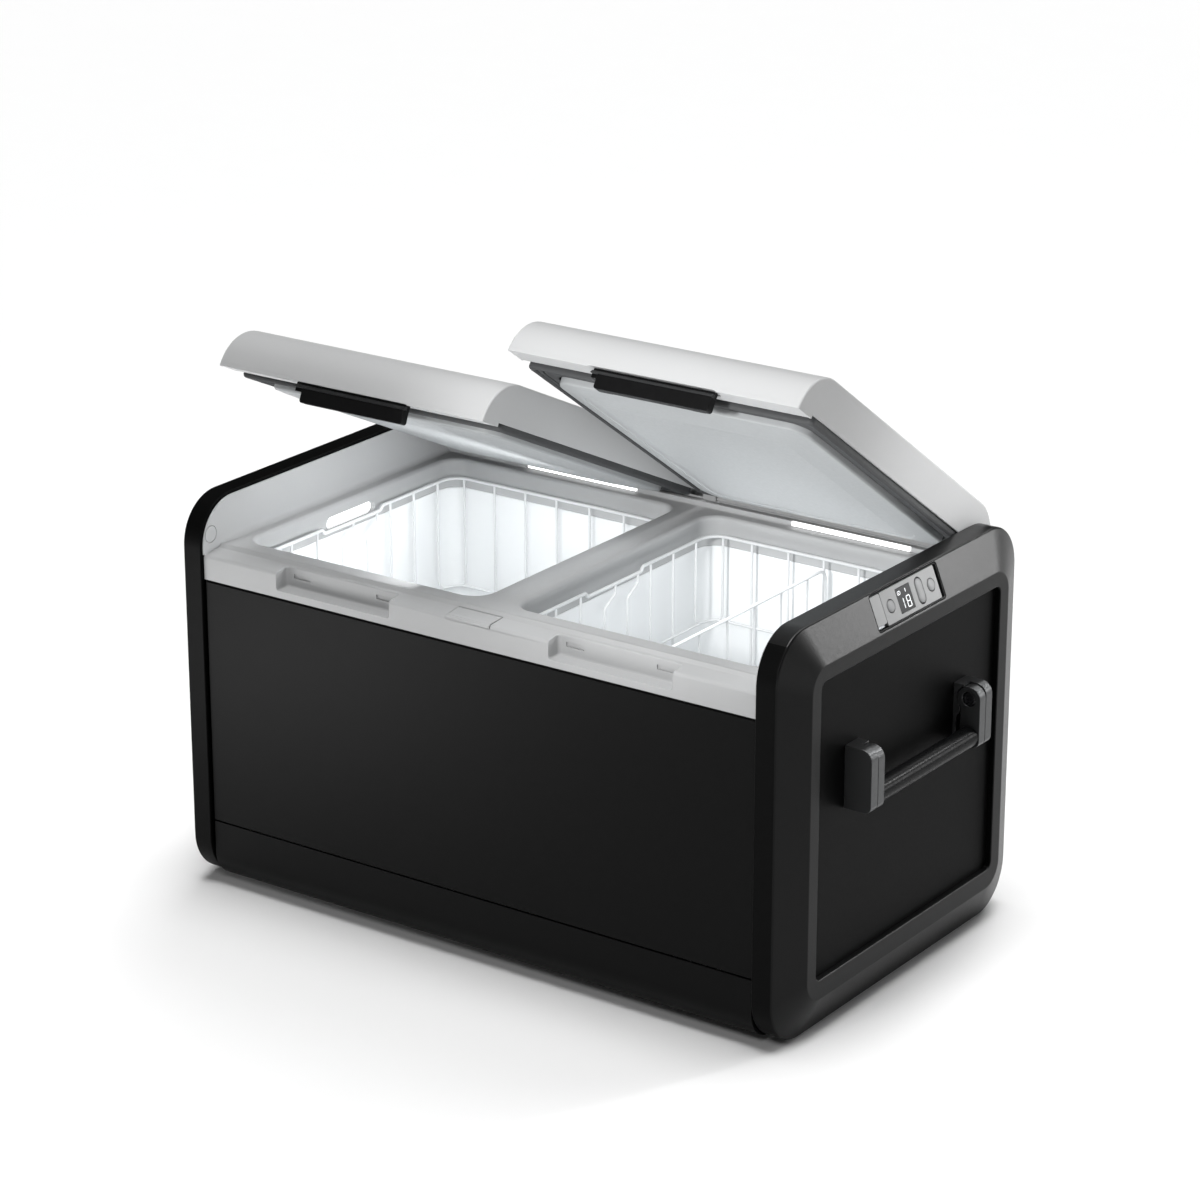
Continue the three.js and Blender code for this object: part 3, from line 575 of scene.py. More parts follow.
def end_cap(name, controls):
    rings = []
    outer = fillet(
        [
            (CAP_IN_X, 4.0, 0),
            (CAP_IN_X, 0.0, 1.2),
            (CAP_BAND_X, 0.0, 3.2),
            (CAP_FACE_X, CAP_CHAMFER, 5.0),
            (CAP_FACE_X, CAP_CHAMFER + 9, 0),
        ],
        6,
    )
    for x, i in outer[:-1]:
        rings.append(cap_ring(x, i, 56 - 28 * min(i, CAP_CHAMFER) / CAP_CHAMFER - max(0, i - CAP_CHAMFER)))
    for k in range(5):
        a = math.pi / 2 * k / 4
        g = 1.4 * (1 - math.sin(a))
        rings.append(
            on(
                "x",
                rr(-186 - g, 186 + g, 69 - g, 411 + g, 9 + g, 14),
                CAP_FACE_X - 1.4 * (1 - math.cos(a)),
            )
        )
    rings.append(on("x", rr(-186, 186, 69, 411, 9, 14), 412.0))
    rings.append(cap_ring(412.0, 34, 30))
    rings.append(cap_ring(397.0, 34, 30))
    rings.append(cap_ring(397.0, 4, 52))
    ob = loft(name, rings, closed=True)
    if controls:
        base = lambda g: rr(-70.6 - g, 68 + g, 2.6 - g, 44 + g, 3.5 + g, 6)
        ob = cut(
            ob,
            slope_loft(
                "tool",
                [(base(0), -30), (base(0), -0.9), (base(0.35), -0.45), (base(1.0), 0.2), (base(1.0), 2)],
            ),
        )
    return ob


right_cap = end_cap("end_cap_right", True)
left_cap = mirror_x(end_cap("tmp_cap", False), "end_cap_left")
bpy.data.objects.remove(bpy.data.objects["tmp_cap"])
done(right_cap, CAP, "cabinet", "right_end_cap", angle=50)
# painted shade: the whole left cap takes the darker copy of the cap plastic
done(left_cap, CAP_SHADED, "cabinet", "left_end_cap", angle=50)
# painted shade: the narrow front band takes the darker, duller copy of the cap plastic
right_cap.data.materials.append(CAP_SHADED)
for p in right_cap.data.polygons:
    if p.normal.y < -0.6 and abs(p.normal.x) < 0.4:
        p.material_index = 1


def plate_x(name, y0, y1, z0, z1, r, x0, x1, edge):
    rings = [on("x", rr(y0, y1, z0, z1, r, 10), x0)]
    for k in range(5):
        a = math.pi / 2 * k / 4
        g = edge * (1 - math.cos(a))
        rings.append(on("x", rr(y0 + g, y1 - g, z0 + g, z1 - g, r, 10), x1 - edge * (1 - math.sin(a))))
    return loft(name, rings)


side_r = plate_x("side_plate_right", -200, 200, 55, 425, 12, 408.4, 411.7, 0.8)
side_l = mirror_x(side_r, "side_plate_left")
done(side_r, PLATE, "cabinet", "right_side_panel")
done(side_l, PLATE, "cabinet", "left_side_panel")

# ------------------------------------------------------------ front, rear, base
PANEL_X = 374.0
front = prism(
    "front_skin",
    "x",
    fillet(
        [
            (-242.5, SEAM_Z + 0.9, 1.0),
            (-242.5, 376.9, 1.0),
            (-240.9, 376.9, 0),
            (-240.9, STRIP_LOW_Z - 0.5, 0),
            (-239.5, STRIP_LOW_Z - 0.5, 0),
            (-239.5, SEAM_Z + 0.9, 0),
        ]
    ),
    -PANEL_X,
    PANEL_X,
)
bevel(front, 0.6)
done(front, PANEL, "cabinet", "front_panel")

rear = prism(
    "rear_skin",
    "x",
    fillet(
        [
            (242.5, SEAM_Z + 0.9, 1.0),
            (242.5, 376.9, 1.0),
            (240.9, 376.9, 0),
            (240.9, STRIP_LOW_Z - 0.5, 0),
            (239.5, STRIP_LOW_Z - 0.5, 0),
            (239.5, SEAM_Z + 0.9, 0),
        ]
    ),
    -PANEL_X,
    PANEL_X,
)
tools = [prism("t", "y", rr(190, 340, 96 + i * 12, 101 + i * 12, 2.4, 5), 230, 250) for i in range(6)]
tools.append(prism("t", "y", rr(59.7, 94.3, 97.7, 122.3, 2, 4), 230, 250))
tools.append(prism("t", "y", rr(105.7, 146.3, 95.7, 124.3, 2, 4), 230, 250))
cut(rear, *tools)
bevel(rear, 0.5)
done(rear, PANEL, "cabinet", "rear_panel")

# slanted blades behind each louvre
blades = []
for i in range(6):
    z = 96 + i * 12
    blades.append(
        loft_data(
            [
                on("x", fillet([(232.5, z + 8.6, 0.4), (239.2, z - 1.2, 0.4), (239.2, z + 0.6, 0.4), (233.6, z + 8.6, 0.4)], 3), x)
                for x in (186, 344)
            ]
        )
    )
louvres = build("rear_louvre_blades", *merge_data(blades))
done(louvres, MACHINE, "cabinet")

outer = fillet([(-242.5, SEAM_Z - 0.5, 0.9), (-242.5, 5, 50), (242.5, 5, 50), (242.5, SEAM_Z - 0.5, 0.9)], 12)
inner = fillet([(239.5, SEAM_Z - 0.5, 0), (239.5, 8, 47), (-239.5, 8, 47), (-239.5, SEAM_Z - 0.5, 0)], 12)
base = prism("base_skin", "x", outer + inner, -PANEL_X, PANEL_X)
tools = [prism("t", "z", rr(180 + i * 20, 188 + i * 20, -120, 0, 3.9, 6), 0, 12) for i in range(4)]
tools.append(prism("t", "z", circle(-190, 60, 11, 32), 0, 14))
cut(base, *tools)
bevel(base, 0.6)
done(base, PANEL, "cabinet", "base_tray")


def lathe_z(name, cx, cy, profile, n=40):
    """profile as (radius, z); the ends lie on the axis or are closed flat"""
    return loft(name, [on("z", circle(cx, cy, r, n), z) for r, z in profile])


for nm, x, y in (
    ("foot_front_left", -320, -165),
    ("foot_front_right", 320, -165),
    ("foot_rear_left", -320, 165),
    ("foot_rear_right", 320, 165),
):
    prof = [(12.6, 0.0), (13.4, 0.0), (13.9, 0.5), (14.4, 0.5), (14.9, 0.0), (15.6, 0.0), (16.4, 0.25), (16.9, 0.9), (17.0, 1.8), (17.0, 3.9), (16.6, 4.5), (16.2, 4.7)]
    prof = [(3, 0.8), (5, 0.8), (5.6, 0.0), (8, 0.0), (8.6, 0.5), (9.4, 0.5), (10, 0.0)] + prof
    foot = lathe_z(nm + "_pad", x, y, prof)
    done(foot, RUBBER, "cabinet", nm, angle=60)

plug = lathe_z(
    "drain_cap",
    -190,
    60,
    [(2.2, 6.4), (6.6, 6.4), (7.0, 5.3), (9.9, 5.25), (10.5, 5.6), (10.6, 7.6), (10.2, 8.0), (9.0, 8.0), (9.0, 44.4), (8.4, 45.0)],
)
done(plug, RUBBER, "cabinet", "drain_plug", angle=50)

# ------------------------------------------------------------------ top frame
top = prism(
    "top_moulding",
    "x",
    fillet(
        [
            (-BODY_HALF_Y, STRIP_LOW_Z, 0.8),
            (BODY_HALF_Y, STRIP_LOW_Z, 0.8),
            (BODY_HALF_Y, LEDGE_Z, 1.8),
            (224.0, LEDGE_Z, 2.0),
            (221.5, LAND_Z, 1.0),
            (219.0, LAND_Z, 0.6),
            (219.0, 421.8, 0.9),
            (212.0, 421.8, 0.9),
            (212.0, LAND_Z, 1.8),
            (-213.5, LAND_Z, 3.0),
            (-218.5, LEDGE_Z, 3.0),
            (-BODY_HALF_Y, LEDGE_Z - 3.2, 4.5),
        ],
        5,
    ),
    -BODY_HALF_X,
    BODY_HALF_X,
)
# end walls with a soft foot
wall_out = rr(-244.2, 244.2, 300, 468.7, 52.7, 14, 1)
wall = loft("w", [on("x", wall_out, 374.1), on("x", wall_out, BODY_HALF_X)])
wall = cut(
    wall,
    cbox("t", 300, 400, -260, 260, 200, LEDGE_Z - 5),
    cbox("t", 300, 400, -260, 1.0 - BODY_HALF_Y, LEDGE_Z - 8, LEDGE_Z - 2.9),
    cbox("t", 300, 400, BODY_HALF_Y - 0.4, 260, LEDGE_Z - 8, LEDGE_Z + 0.01),
)


def foot_prof(r):
    pts = [(BODY_HALF_X, LAND_Z - 1.5), (374.1 - r, LAND_Z - 1.5)]
    for k in range(9):
        a = math.pi / 2 * k / 8
        pts.append((374.1 - r * (1 - math.sin(a)), LAND_Z - 0.02 + r * (1 - math.cos(a))))
    return pts + [(BODY_HALF_X, LAND_Z + r)]


cove = loft("w2", [on("y", foot_prof(r), y) for r, y in ((0.5, -214), (2.2, -209), (4.6, -200), (6.1, -188), (6.1, 211))])
wall = unite(wall, cove)
wall_l = mirror_x(wall, "w3")
# hinge posts
post = [(229.5, LEDGE_Z - 1), (242.4, LEDGE_Z - 1)]
for i in range(17):
    a = math.pi * i / 16
    post.append((HINGE_Y + 6.4 * math.cos(a), HINGE_Z + 6.4 * math.sin(a)))
rib = fillet([(236.6, LEDGE_Z - 1, 0), (242.3, LEDGE_Z - 1, 0), (242.3, 417.1, 1.2), (236.6, 417.1, 1.2)], 4)
posts = [prism("p", "x", rib, -370, 370), prism("p", "x", post, -9, 9), prism("p", "x", post, 362, BODY_HALF_X), prism("p", "x", post, -BODY_HALF_X, -362)]
unite(top, wall, wall_l, *posts)


def opening_outline(g=0.0, n=10):
    return rr(OPEN_X0 - g, OPEN_X1 + g, OPEN_Y0 - g, OPEN_Y1 + g, OPEN_R + g, n)


rings = [on("z", opening_outline(), 300), on("z", opening_outline(), LAND_Z - 5.0)]
for k in range(1, 9):
    a = math.pi / 2 * k / 8
    rings.append(on("z", opening_outline(5.0 * (1 - math.cos(a))), LAND_Z - 5.0 + 5.0 * math.sin(a)))
rings.append(on("z", opening_outline(5.0), LAND_Z + 0.02))
rings.append(on("z", opening_outline(5.0), LAND_Z + 0.5))
hole = loft("hole", rings)
hole_l = mirror_x(hole, "hole_l")
tools = [hole, hole_l]
for k in (-1, 1):
    c, w = k * (RECESS_X0 + RECESS_X1) / 2, (RECESS_X1 - RECESS_X0) / 2
    rec = []
    for g, z in ((-2.2, RECESS_Z), (-1.5, RECESS_Z + 0.15), (-0.6, RECESS_Z + 0.8), (0, RECESS_Z + 2.2), (0, LEDGE_Z - 2.4), (0.4, LEDGE_Z - 1.2), (1.2, LEDGE_Z - 0.35), (2.2, LEDGE_Z), (2.2, LEDGE_Z + 9)):
        rec.append(on("z", rr(c - w - g, c + w + g, -262, RECESS_Y + g, 4.5, 6), z))
    tools.append(loft("t", rec))
    x = c + 17
    tools.append(
        loft("t", [on("y", [(x - w2, 416), (x + w2, 416), (x + w2, 423), (x - w2, 423)], y) for y, w2 in ((210, 84.5), (212, 81.6), (214.5, 79.9))])
    )
tools.append(prism("t", "x", fillet([(-217.7, LEDGE_Z - 2.2, 0), (-217.7, 430, 0), (-260, 430, 0), (-260, 404.4, 0), (-240.3, 404.4, 0), (-240.3, LEDGE_Z - 2.2, 3.0)], 5), -30.2, 30.2))
tools.append(
    loft(
        "t",
        [on("x", rr(-45, 43, 385, 401, 7.9, 8), -363), on("x", rr(-45, 43, 385, 401, 7.9, 8), -357.2), on("x", rr(-46, 44, 384, 402, 8.9, 8), -355.9), on("x", rr(-46, 44, 384, 402, 8.9, 8), -350)],
    )
)
cut(top, *tools)
bevel(top, 0.55, 2, angle=50, clamp=False)
cut(
    top,
    *[prism("t", "y", rr(k * 189 + d - 12, k * 189 + d + 12, 398, 403.5, 0.8, 3), -232, -220.5) for k in (-1, 1) for d in (-59, 59)],
    *[prism("t", "x", circle(-231.2, 430.5, 10.3, 40), min(k * 373, k * 375.3), max(k * 373, k * 375.3)) for k in (-1, 1)],
)
done(top, FRAME, "cabinet", "top_frame", angle=48)

# painted light: an emitting white insert in the finger slot stands in for light from the tub showing through
glow = rprism("finger_slot_painted_glow", "x", rr(-44.6, 42.6, 385.4, 400.6, 7.5, 8), -362.8, -360.2, 0.8, 3)
done(glow, GLOW, "cabinet")

# the plate follows the rounded front edge
section = fillet([(-218.9, LEDGE_Z - 2.0, 0), (-218.9, LEDGE_Z + 0.12, 0.4), (-242.6, LEDGE_Z - 3.1, 4.5), (-242.6, 405.2, 0.4), (-240.5, 405.2, 0), (-240.5, LEDGE_Z - 2.0, 3.0)], 6)
cover = rprism("latch_cover_plate", "x", section, -29.4, 29.4, 0.3, 2)
done(cover, FRAME, "cabinet", "cover_plate")

# small round plugs in the inner end walls
for nm, k in (("left", -1), ("right", 1)):
    rings = []
    for r, d in ((9.5, -1.3), (9.5, 0.0), (9.2, 0.3), (8.6, 0.42), (3.0, 0.5)):
        rings.append(on("x", circle(-231.2, 430.5, r, 40), k * (374.1 - d)))
    p = loft("wall_plug_" + nm, rings)
    done(p, FRAME, "cabinet", angle=50)

for nm, k in (("left_lamp", -1), ("right_lamp", 1)):
    lamp = prism("t_" + nm, "y", rr(k * 189 + 17 - 79.4, k * 189 + 17 + 79.4, 416.35, 421.55, 0.8, 3), 211.5, 214.1)
    lamp.name = nm + "_diffuser"
    bevel(lamp, 0.35, 2)
    done(lamp, LAMP, "cabinet", nm)


# ----------------------------------------------------------------------- tubs
def tub(name, floor):
    top_z = STRIP_LOW_Z - 0.3
    rings = [on("z", opening_outline(2), floor - 2), on("z", opening_outline(2), top_z), on("z", opening_outline(0), top_z)]
    R = 14.0
    for k in range(9):
        a = math.pi / 2 * k / 8
        g = -R * (1 - math.cos(a))
        z = floor + R - R * math.sin(a)
        rings.append(on("z", rr(OPEN_X0 - g, OPEN_X1 + g, OPEN_Y0 - g, OPEN_Y1 + g, max(OPEN_R + g, 10), 10), z))
    return loft(name, rings)


right_tub = tub("tub_right", 192.0)
done(right_tub, TUB, "cabinet", "right_tub")
t = tub("tmp", 52.0)
left_tub = mirror_x(t, "tub_left")
bpy.data.objects.remove(t)
done(left_tub, TUB, "cabinet", "left_tub")


# -------------------------------------------------------------------- baskets
def basket(name, side, floor, divider, node):
    x0, x1, y0, y1 = 32.6, 345.4, -178.4, 185.4
    zr = 395.2
    r_rim, r_wire = 2.1, 1.55
    parts = []
    k = -1 if side == "left" else 1
    dip = 5.2

    def rim_z(x, y):
        """the rim dips to a grip at both ends"""
        if x < x0 + 1 or x > x1 - 1:
            yy = abs(y + 10.7)
            if yy < 52:
                return zr - dip
            if yy < 57:
                s = (57 - yy) / 5
                return zr - dip * s * s * (3 - 2 * s)
        return zr

    # rim, walked round the rounded rectangle
    out = rr(x0, x1, y0, y1, 24, 8)
    path = []
    m = len(out)
    for i in range(m):
        a, b = Vector(out[i]), Vector(out[(i + 1) % m])
        steps = max(1, int((b - a).length / 2.0))
        for j in range(steps):
            p = a.lerp(b, j / steps)
            path.append((k * p.x, p.y, rim_z(p.x, p.y)))
    parts.append(tube_data(path, r_rim, 12, closed=True))
    zb = floor + 2.1
    low = rr(x0 + 3, x1 - 3, y0 + 3, y1 - 3, 21, 8)
    parts.append(tube_data([(k * p[0], p[1], zb + 7) for p in low], r_wire, 10, closed=True))
    mid_z = floor + (205.0 if side == "left" else 100.0)
    mid = rr(x0 + 3.0, x1 - 3.0, y0 + 3.0, y1 - 3.0, 21, 8)
    parts.append(tube_data([(k * p[0], p[1], mid_z) for p in mid], r_wire, 10, closed=True))
    # hoops: down one side, across the floor and up the other
    for x in (90.6, 140.6, 188.9, 235.6, 281.8):
        pts = [(k * x, y0 + 1.4, zr - 1.2, 0), (k * x, y0 + 1.4, zb, 12), (k * x, y1 - 1.4, zb, 12), (k * x, y1 - 1.4, zr - 1.2, 0)]
        parts.append(tube_data(round_path(pts, 6), r_wire, 10))
    for y in (-125.4, -78.3, 59.3, 104.9):
        pts = [(k * (x0 + 1.4), y, zr - 1.2, 0), (k * (x0 + 1.4), y, zb + 3.0, 12), (k * (x1 - 1.4), y, zb + 3.0, 12), (k * (x1 - 1.4), y, zr - 1.2, 0)]
        parts.append(tube_data(round_path(pts, 6), r_wire, 10))
    # a loop round each corner, hung from the rim and closed at the middle ring
    for xa, xb in ((x0 + 1.6, 50.4), (x1 - 1.6, 327.6)):
        for ya, yb in ((y1 - 1.6, 151.5), (y0 + 1.6, -144.5)):
            c = ((xa + xb) / 2 + (xa - xb) * 0.18, (ya + yb) / 2 + (ya - yb) * 0.18)
            pts = [
                (k * xa, yb, zr - 1.2, 0),
                (k * xa, yb, mid_z + 1.2, 11),
                (k * c[0], c[1], mid_z + 0.2, 9),
                (k * xb, ya, mid_z + 1.2, 11),
                (k * xb, ya, zr - 1.2, 0),
            ]
            parts.append(tube_data(round_path(pts, 6), r_wire, 10))
    # the two wires under each grip kink sideways
    for top_y, low_y in ((-10.9, -31.7), (33.5, 13.4)):
        pts = [
            (k * (x0 + 1.4), top_y, zr - dip - 0.8, 0),
            (k * (x0 + 1.4), top_y, 379, 2.5),
            (k * (x0 + 1.4), low_y, 366.5, 2.5),
            (k * (x0 + 1.4), low_y, zb + 3.0, 12),
            (k * (x1 - 1.4), low_y, zb + 3.0, 12),
            (k * (x1 - 1.4), low_y, 366.5, 2.5),
            (k * (x1 - 1.4), top_y, 379, 2.5),
            (k * (x1 - 1.4), top_y, zr - dip - 0.8, 0),
        ]
        parts.append(tube_data(round_path(pts, 5), r_wire, 10))
    if divider:
        # wire partition hung between two hoops
        zt = zr - 11
        pts = [(k * 191.5, y0 + 2.6, floor + 9, 0), (k * 191.5, y0 + 2.6, zt, 14), (k * 191.5, y1 - 2.6, zt, 14), (k * 191.5, y1 - 2.6, floor + 9, 0)]
        parts.append(tube_data(round_path(pts, 6), 1.9, 12))
        for y in (-130, -75, -20, 35, 90, 145):
            parts.append(tube_data([(k * 191.5, y, zt), (k * 191.5, y, floor + 10)], 1.4, 10))
        parts.append(tube_data([(k * 191.5, y0 + 2.6, floor + 70), (k * 191.5, y1 - 2.6, floor + 70)], 1.4, 10))
    ob = build(name, *merge_data(parts))
    done(ob, WIRE, side + "_basket_body", node, angle=60, weighted=False)
    return ob


basket("basket_left_wires", "left", 52.0, False, "left_basket")
basket("basket_right_wires", "right", 192.0, True, "right_basket")


# ----------------------------------------------------------------------- lids
def lid_outline(inset, n=16):
    r = LID_ARC_R - 0.18 - inset
    cz, cy = LID_TOP_Z - LID_ARC_R, BODY_HALF_Y + 3 - LID_ARC_R
    pts = []
    for i in range(n + 1):
        a = math.pi / 2 * i / n
        pts.append((cy + r * math.cos(a), cz + r * math.sin(a)))
    for i in range(n + 1):
        a = math.pi / 2 + math.pi / 2 * i / n
        pts.append((-cy + r * math.cos(a), cz + r * math.sin(a)))
    pts += [(-cy - r, LID_LIP_Z - 6), (cy + r, LID_LIP_Z - 6)]
    return pts


def lid_shell(name, a0, a1):
    R = 2.2
    rings = []
    for k in range(6):
        a = math.pi / 2 * k / 5
        rings.append(on("x", lid_outline(R * (1 - math.sin(a))), LID_X0 + R * (1 - math.cos(a))))
    for k in range(6):
        a = math.pi / 2 * (5 - k) / 5
        rings.append(on("x", lid_outline(R * (1 - math.sin(a))), LID_X1 - R * (1 - math.cos(a))))
    s = loft(name, rings)
    s = cut(s, prism("t", "x", lid_outline(3), LID_X0 + 3, LID_X1 - 3))
    lip = prism(
        "t",
        "x",
        fillet([(-242.8, LID_LIP_Z - 4, 0), (-216, LID_LIP_Z - 4, 0), (-216, 430, 0), (-242.8, 430, 0)]),
        LID_X0 + 2.0,
        LID_X1 - 2.0,
    )
    barrel = prism("t", "x", circle(HINGE_Y, HINGE_Z, 6.9, 32), LID_X0 + 2, LID_X1 - 2)
    unite(s, lip, barrel)
    cut(
        s,
        cbox("t", -5, 400, -300, 300, 300, LID_LIP_Z),
        cbox("t", -5, 400, -214, 241, 300, LID_SIDE_Z),
    )
    # latch notch with slanted ends, and the space for the hinge posts
    cut(
        s,
        prism("t", "y", fillet([(a0 - 4.5, 300, 0), (a1 + 4.5, 300, 0), (a1 + 4.5, LID_LIP_Z - 0.1, 0), (a1 + 0.9, LID_LIP_Z + 1.4, 0), (a0 - 0.9, LID_LIP_Z + 1.4, 0), (a0 - 4.5, LID_LIP_Z - 0.1, 0)]), -260, -228),
        cbox("t", a0 - 0.7, a1 + 0.7, -242.6, -227.5, 300, LID_LIP_Z + 7.5),
        cbox("t", -10, 9.6, 228.5, 260, 300, 500),
        cbox("t", 361.4, 400, 228.5, 260, 300, 500),
        prism("t", "x", circle(HINGE_Y, HINGE_Z, 3.0, 24), -2, 400),
    )
    bevel(s, 0.45, 2, angle=50, clamp=False)
    cut(s, cbox("t", -5, a0 - 6, -250, -244.6, 424.2, 424.8), cbox("t", a1 + 6, 400, -250, -244.6, 424.2, 424.8))
    return s


def lid_liner(name):
    prof = fillet(
        [(0.0, 430, 0), (0.8, 411.5, 3.0), (24, 408.2, 1.2), (25.5, 409.0, 1.2), (42, 406.6, 8), (60, 406.6, 0)], 6
    )
    rings = []
    for g, z in prof:
        r = max(7.0, 25 - 0.3 * g)
        rings.append(on("z", rr(27.5 + g, 351 - g, -185 + g, 192 - g, r, 10), z))
    return loft(name, rings)


def lid_gasket(name):
    def ring(t, z):
        lo = (6.0, 371.0, -206.0, 208.0, 6.0)
        hi = (26.7, 351.8, -185.8, 192.8, 24.0)
        u0, u1, v0, v1, r = (a + (b - a) * t for a, b in zip(lo, hi))
        return on("z", rr(u0, u1, v0, v1, r, 6), z)

    prof = fillet(
        [
            (0.05, 426.3, 0),
            (0.01, 424.0, 0),
            (0.0, 419.0, 0),
        ]
    )
    # outer bulb, groove, second rib, groove, then the flat inner band
    for k in range(9):
        a = math.pi * k / 8
        prof.append((0.12 - 0.11 * math.cos(a), 418.6 - 3.0 * math.sin(a)))
    prof += [(0.235, 421.6), (0.285, 421.6)]
    for k in range(7):
        a = math.pi * k / 6
        prof.append((0.37 - 0.08 * math.cos(a), 419.2 - 1.9 * math.sin(a)))
    prof += [(0.452, 421.8), (0.5, 421.8), (0.505, 419.3), (0.54, 418.8), (0.93, 418.3), (0.985, 418.7), (1.0, 420.0), (1.0, 426.3)]
    return loft(name, [ring(t, z) for t, z in prof], closed=True)


# painted shade: dark rubber rings laid into the two gasket grooves stand in for the shade inside them
def lid_groove_shade(name):
    lo, hi = (6.0, 371.0, -206.0, 208.0, 6.0), (26.7, 351.8, -185.8, 192.8, 24.0)
    rings = []
    for t, z in ((0.215, 424.0), (0.215, 418.9), (0.3, 418.9), (0.3, 424.0)):
        u0, u1, v0, v1, r = (a + (b - a) * t for a, b in zip(lo, hi))
        rings.append(on("z", rr(u0, u1, v0, v1, r, 6), z))
    for t, z in ((0.455, 424.0), (0.455, 419.3), (0.505, 419.3), (0.505, 424.0)):
        u0, u1, v0, v1, r = (a + (b - a) * t for a, b in zip(lo, hi))
        rings.append(on("z", rr(u0, u1, v0, v1, r, 6), z))
    one, two = loft_data(rings[:4], closed=True), loft_data(rings[4:], closed=True)
    return build(name, *merge_data([one, two]))


def latch_parts(a0, a1, p0, p1):
    """paddle with its hinge bar and two hooks, and the ribbed strip above it"""
    face = fillet([(p0 + 0.8, 414.6, 0.5), (p0, 398.6, 3.2), (p1, 398.6, 3.2), (p1 - 0.8, 414.6, 0.5)], 6)
    paddle = prism("paddle", "y", face, -242.7, -231.2)
    # pull the front face back towards the lower edge and hollow the rear
    for v in paddle.data.vertices:
        if v.co.y < -0.2420:
            s = max(0.0, (0.4146 - v.co.z) / 0.016)
            v.co.y += 0.0012 * s
    cut(paddle, prism("t", "y", rr(p0 + 6, p1 - 6, 403.5, 410.5, 2, 3), -236.5, -229))
    bevel(paddle, 0.8, 3)
    spine = prism("spine", "x", fillet([(-238.4, 410.6, 0), (-231.2, 410.6, 0), (-231.2, 424.6, 1.0), (-236.6, 424.6, 1.0), (-238.4, 418.0, 0)], 3), a0 + 1.0, a1 - 1.0)
    hooks = []
    for d in (130, 248):
        hooks.append(
            prism(
                "hook",
                "x",
                fillet([(-236.0, 400.1, 0), (-224.6, 400.1, 0.4), (-223.4, 401.4, 0.3), (-223.4, 402.6, 0.4), (-236.0, 402.6, 0)], 3),
                d - 7.8,
                d + 7.8,
            )
        )
    unite(paddle, spine, *hooks)
    strip = prism(
        "strip",
        "x",
        fillet([(-242.3, 414.9, 0.3), (-242.1, 415.8, 0.6), (-239.6, 418.6, 0.5), (-236.4, 418.6, 0.4), (-236.4, 414.9, 0.3)], 4),
        a0 + 0.6,
        a1 - 0.6,
    )
    notches = [
        prism("t", "x", [(-245, 414.3), (-240.6, 414.3), (-245, 416.2)], x - 1.3, x + 1.3)
        for x in (a0 + 30, (a0 + a1) / 2, a1 - 30)
    ]
    cut(strip, *notches)
    bevel(strip, 0.3, 2)
    return paddle, strip


liner0, gasket0, groove_shade0 = lid_liner("l0"), lid_gasket("g0"), lid_groove_shade("g1")
for side in ("left", "right"):
    # the grip sits 5 mm towards the right of the chest on both lids
    a0, a1, p0, p1 = (112.0, 267.8, 121.8, 267.8) if side == "right" else (109.8, 266.0, 110.0, 253.6)
    shell0 = lid_shell("s0", a0, a1)
    paddle0, strip0 = latch_parts(a0, a1, p0, p1)
    for src, nm, mat, body, slot, node, ang in (
        (shell0, "lid_skin_", LID, side + "_lid", "lid_grey", side + "_lid_shell", 46),
        (liner0, "lid_inner_", LINER, side + "_lid", "lid_liner_grey", side + "_lid_liner", 46),
        (gasket0, "lid_seal_", SEAL, side + "_lid", "gasket_grey", side + "_lid_gasket", 34),
        (groove_shade0, "lid_seal_groove_shade_", RUBBER, side + "_lid", "gasket_grey", None, 34),
        (paddle0, "latch_paddle_", TRIM, side + "_latch_body", "trim_black", side + "_latch", 46),
        (strip0, "latch_strip_", TRIM_GREY, side + "_latch_body", "trim_black", None, 46),
    ):
        if side == "left":
            ob = mirror_x(src, nm + side)
        else:
            ob = bpy.data.objects.new(nm + side, src.data.copy())
            scene.collection.objects.link(ob)
        open_lid(ob, side)
        done(ob, mat, body, node or (), angle=ang)
    for ob in (shell0, paddle0, strip0):
        bpy.data.objects.remove(ob)
for ob in (liner0, gasket0, groove_shade0):
    bpy.data.objects.remove(ob)

# -------------------------------------------------------------- control panel
o = lambda g, n=6: rr(-70.6 + g, 68 - g, 2.6 + g, 44 - g, max(0.8, 3.4 - g), n)
housing = slope_loft("control_tray", [(o(0.4), -10), (o(0.4), -1.0), (o(0.7), -0.62), (o(1.5), -0.62), (o(1.9), -1.0), (o(1.9), -8.0)])
done(housing, TRIM, "cabinet", "control_housing", angle=50)

KEY_S, POWER_Y, SET_Y, ROCKER_Y = 23.5, -35.3, 47.9, 25.2
face = slope_loft(
    "control_fascia",
    [(rr(-49.6 + g, 61.5 - g, 4.4 + g, 41.8 - g, 1.6, 4), d) for g, d in ((0, -7.6), (0, -1.3), (0.15, -0.95), (0.5, -0.8))],
)
cut(
    face,
    slope_loft("t", [(circle(POWER_Y, KEY_S, 7.6), -6), (circle(POWER_Y, KEY_S, 7.6), -1.2), (circle(POWER_Y, KEY_S, 8.1), 0.4)]),
    slope_loft("t", [(circle(SET_Y, KEY_S, 7.6), -6), (circle(SET_Y, KEY_S, 7.6), -1.2), (circle(SET_Y, KEY_S, 8.1), 0.4)]),
    slope_loft("t", [(oval(ROCKER_Y, KEY_S, 7.4, 8), -6), (oval(ROCKER_Y, KEY_S, 7.4, 8), -1.2), (oval(ROCKER_Y, KEY_S, 7.9, 8), 0.4)]),
    slope_loft("t", [(rr(-20.3, 8.9, 9.2, 37.3, 0.8, 3), -3), (rr(-20.3, 8.9, 9.2, 37.3, 0.8, 3), 1)]),
)
done(face, SILVER, "cabinet", "control_face", angle=35)


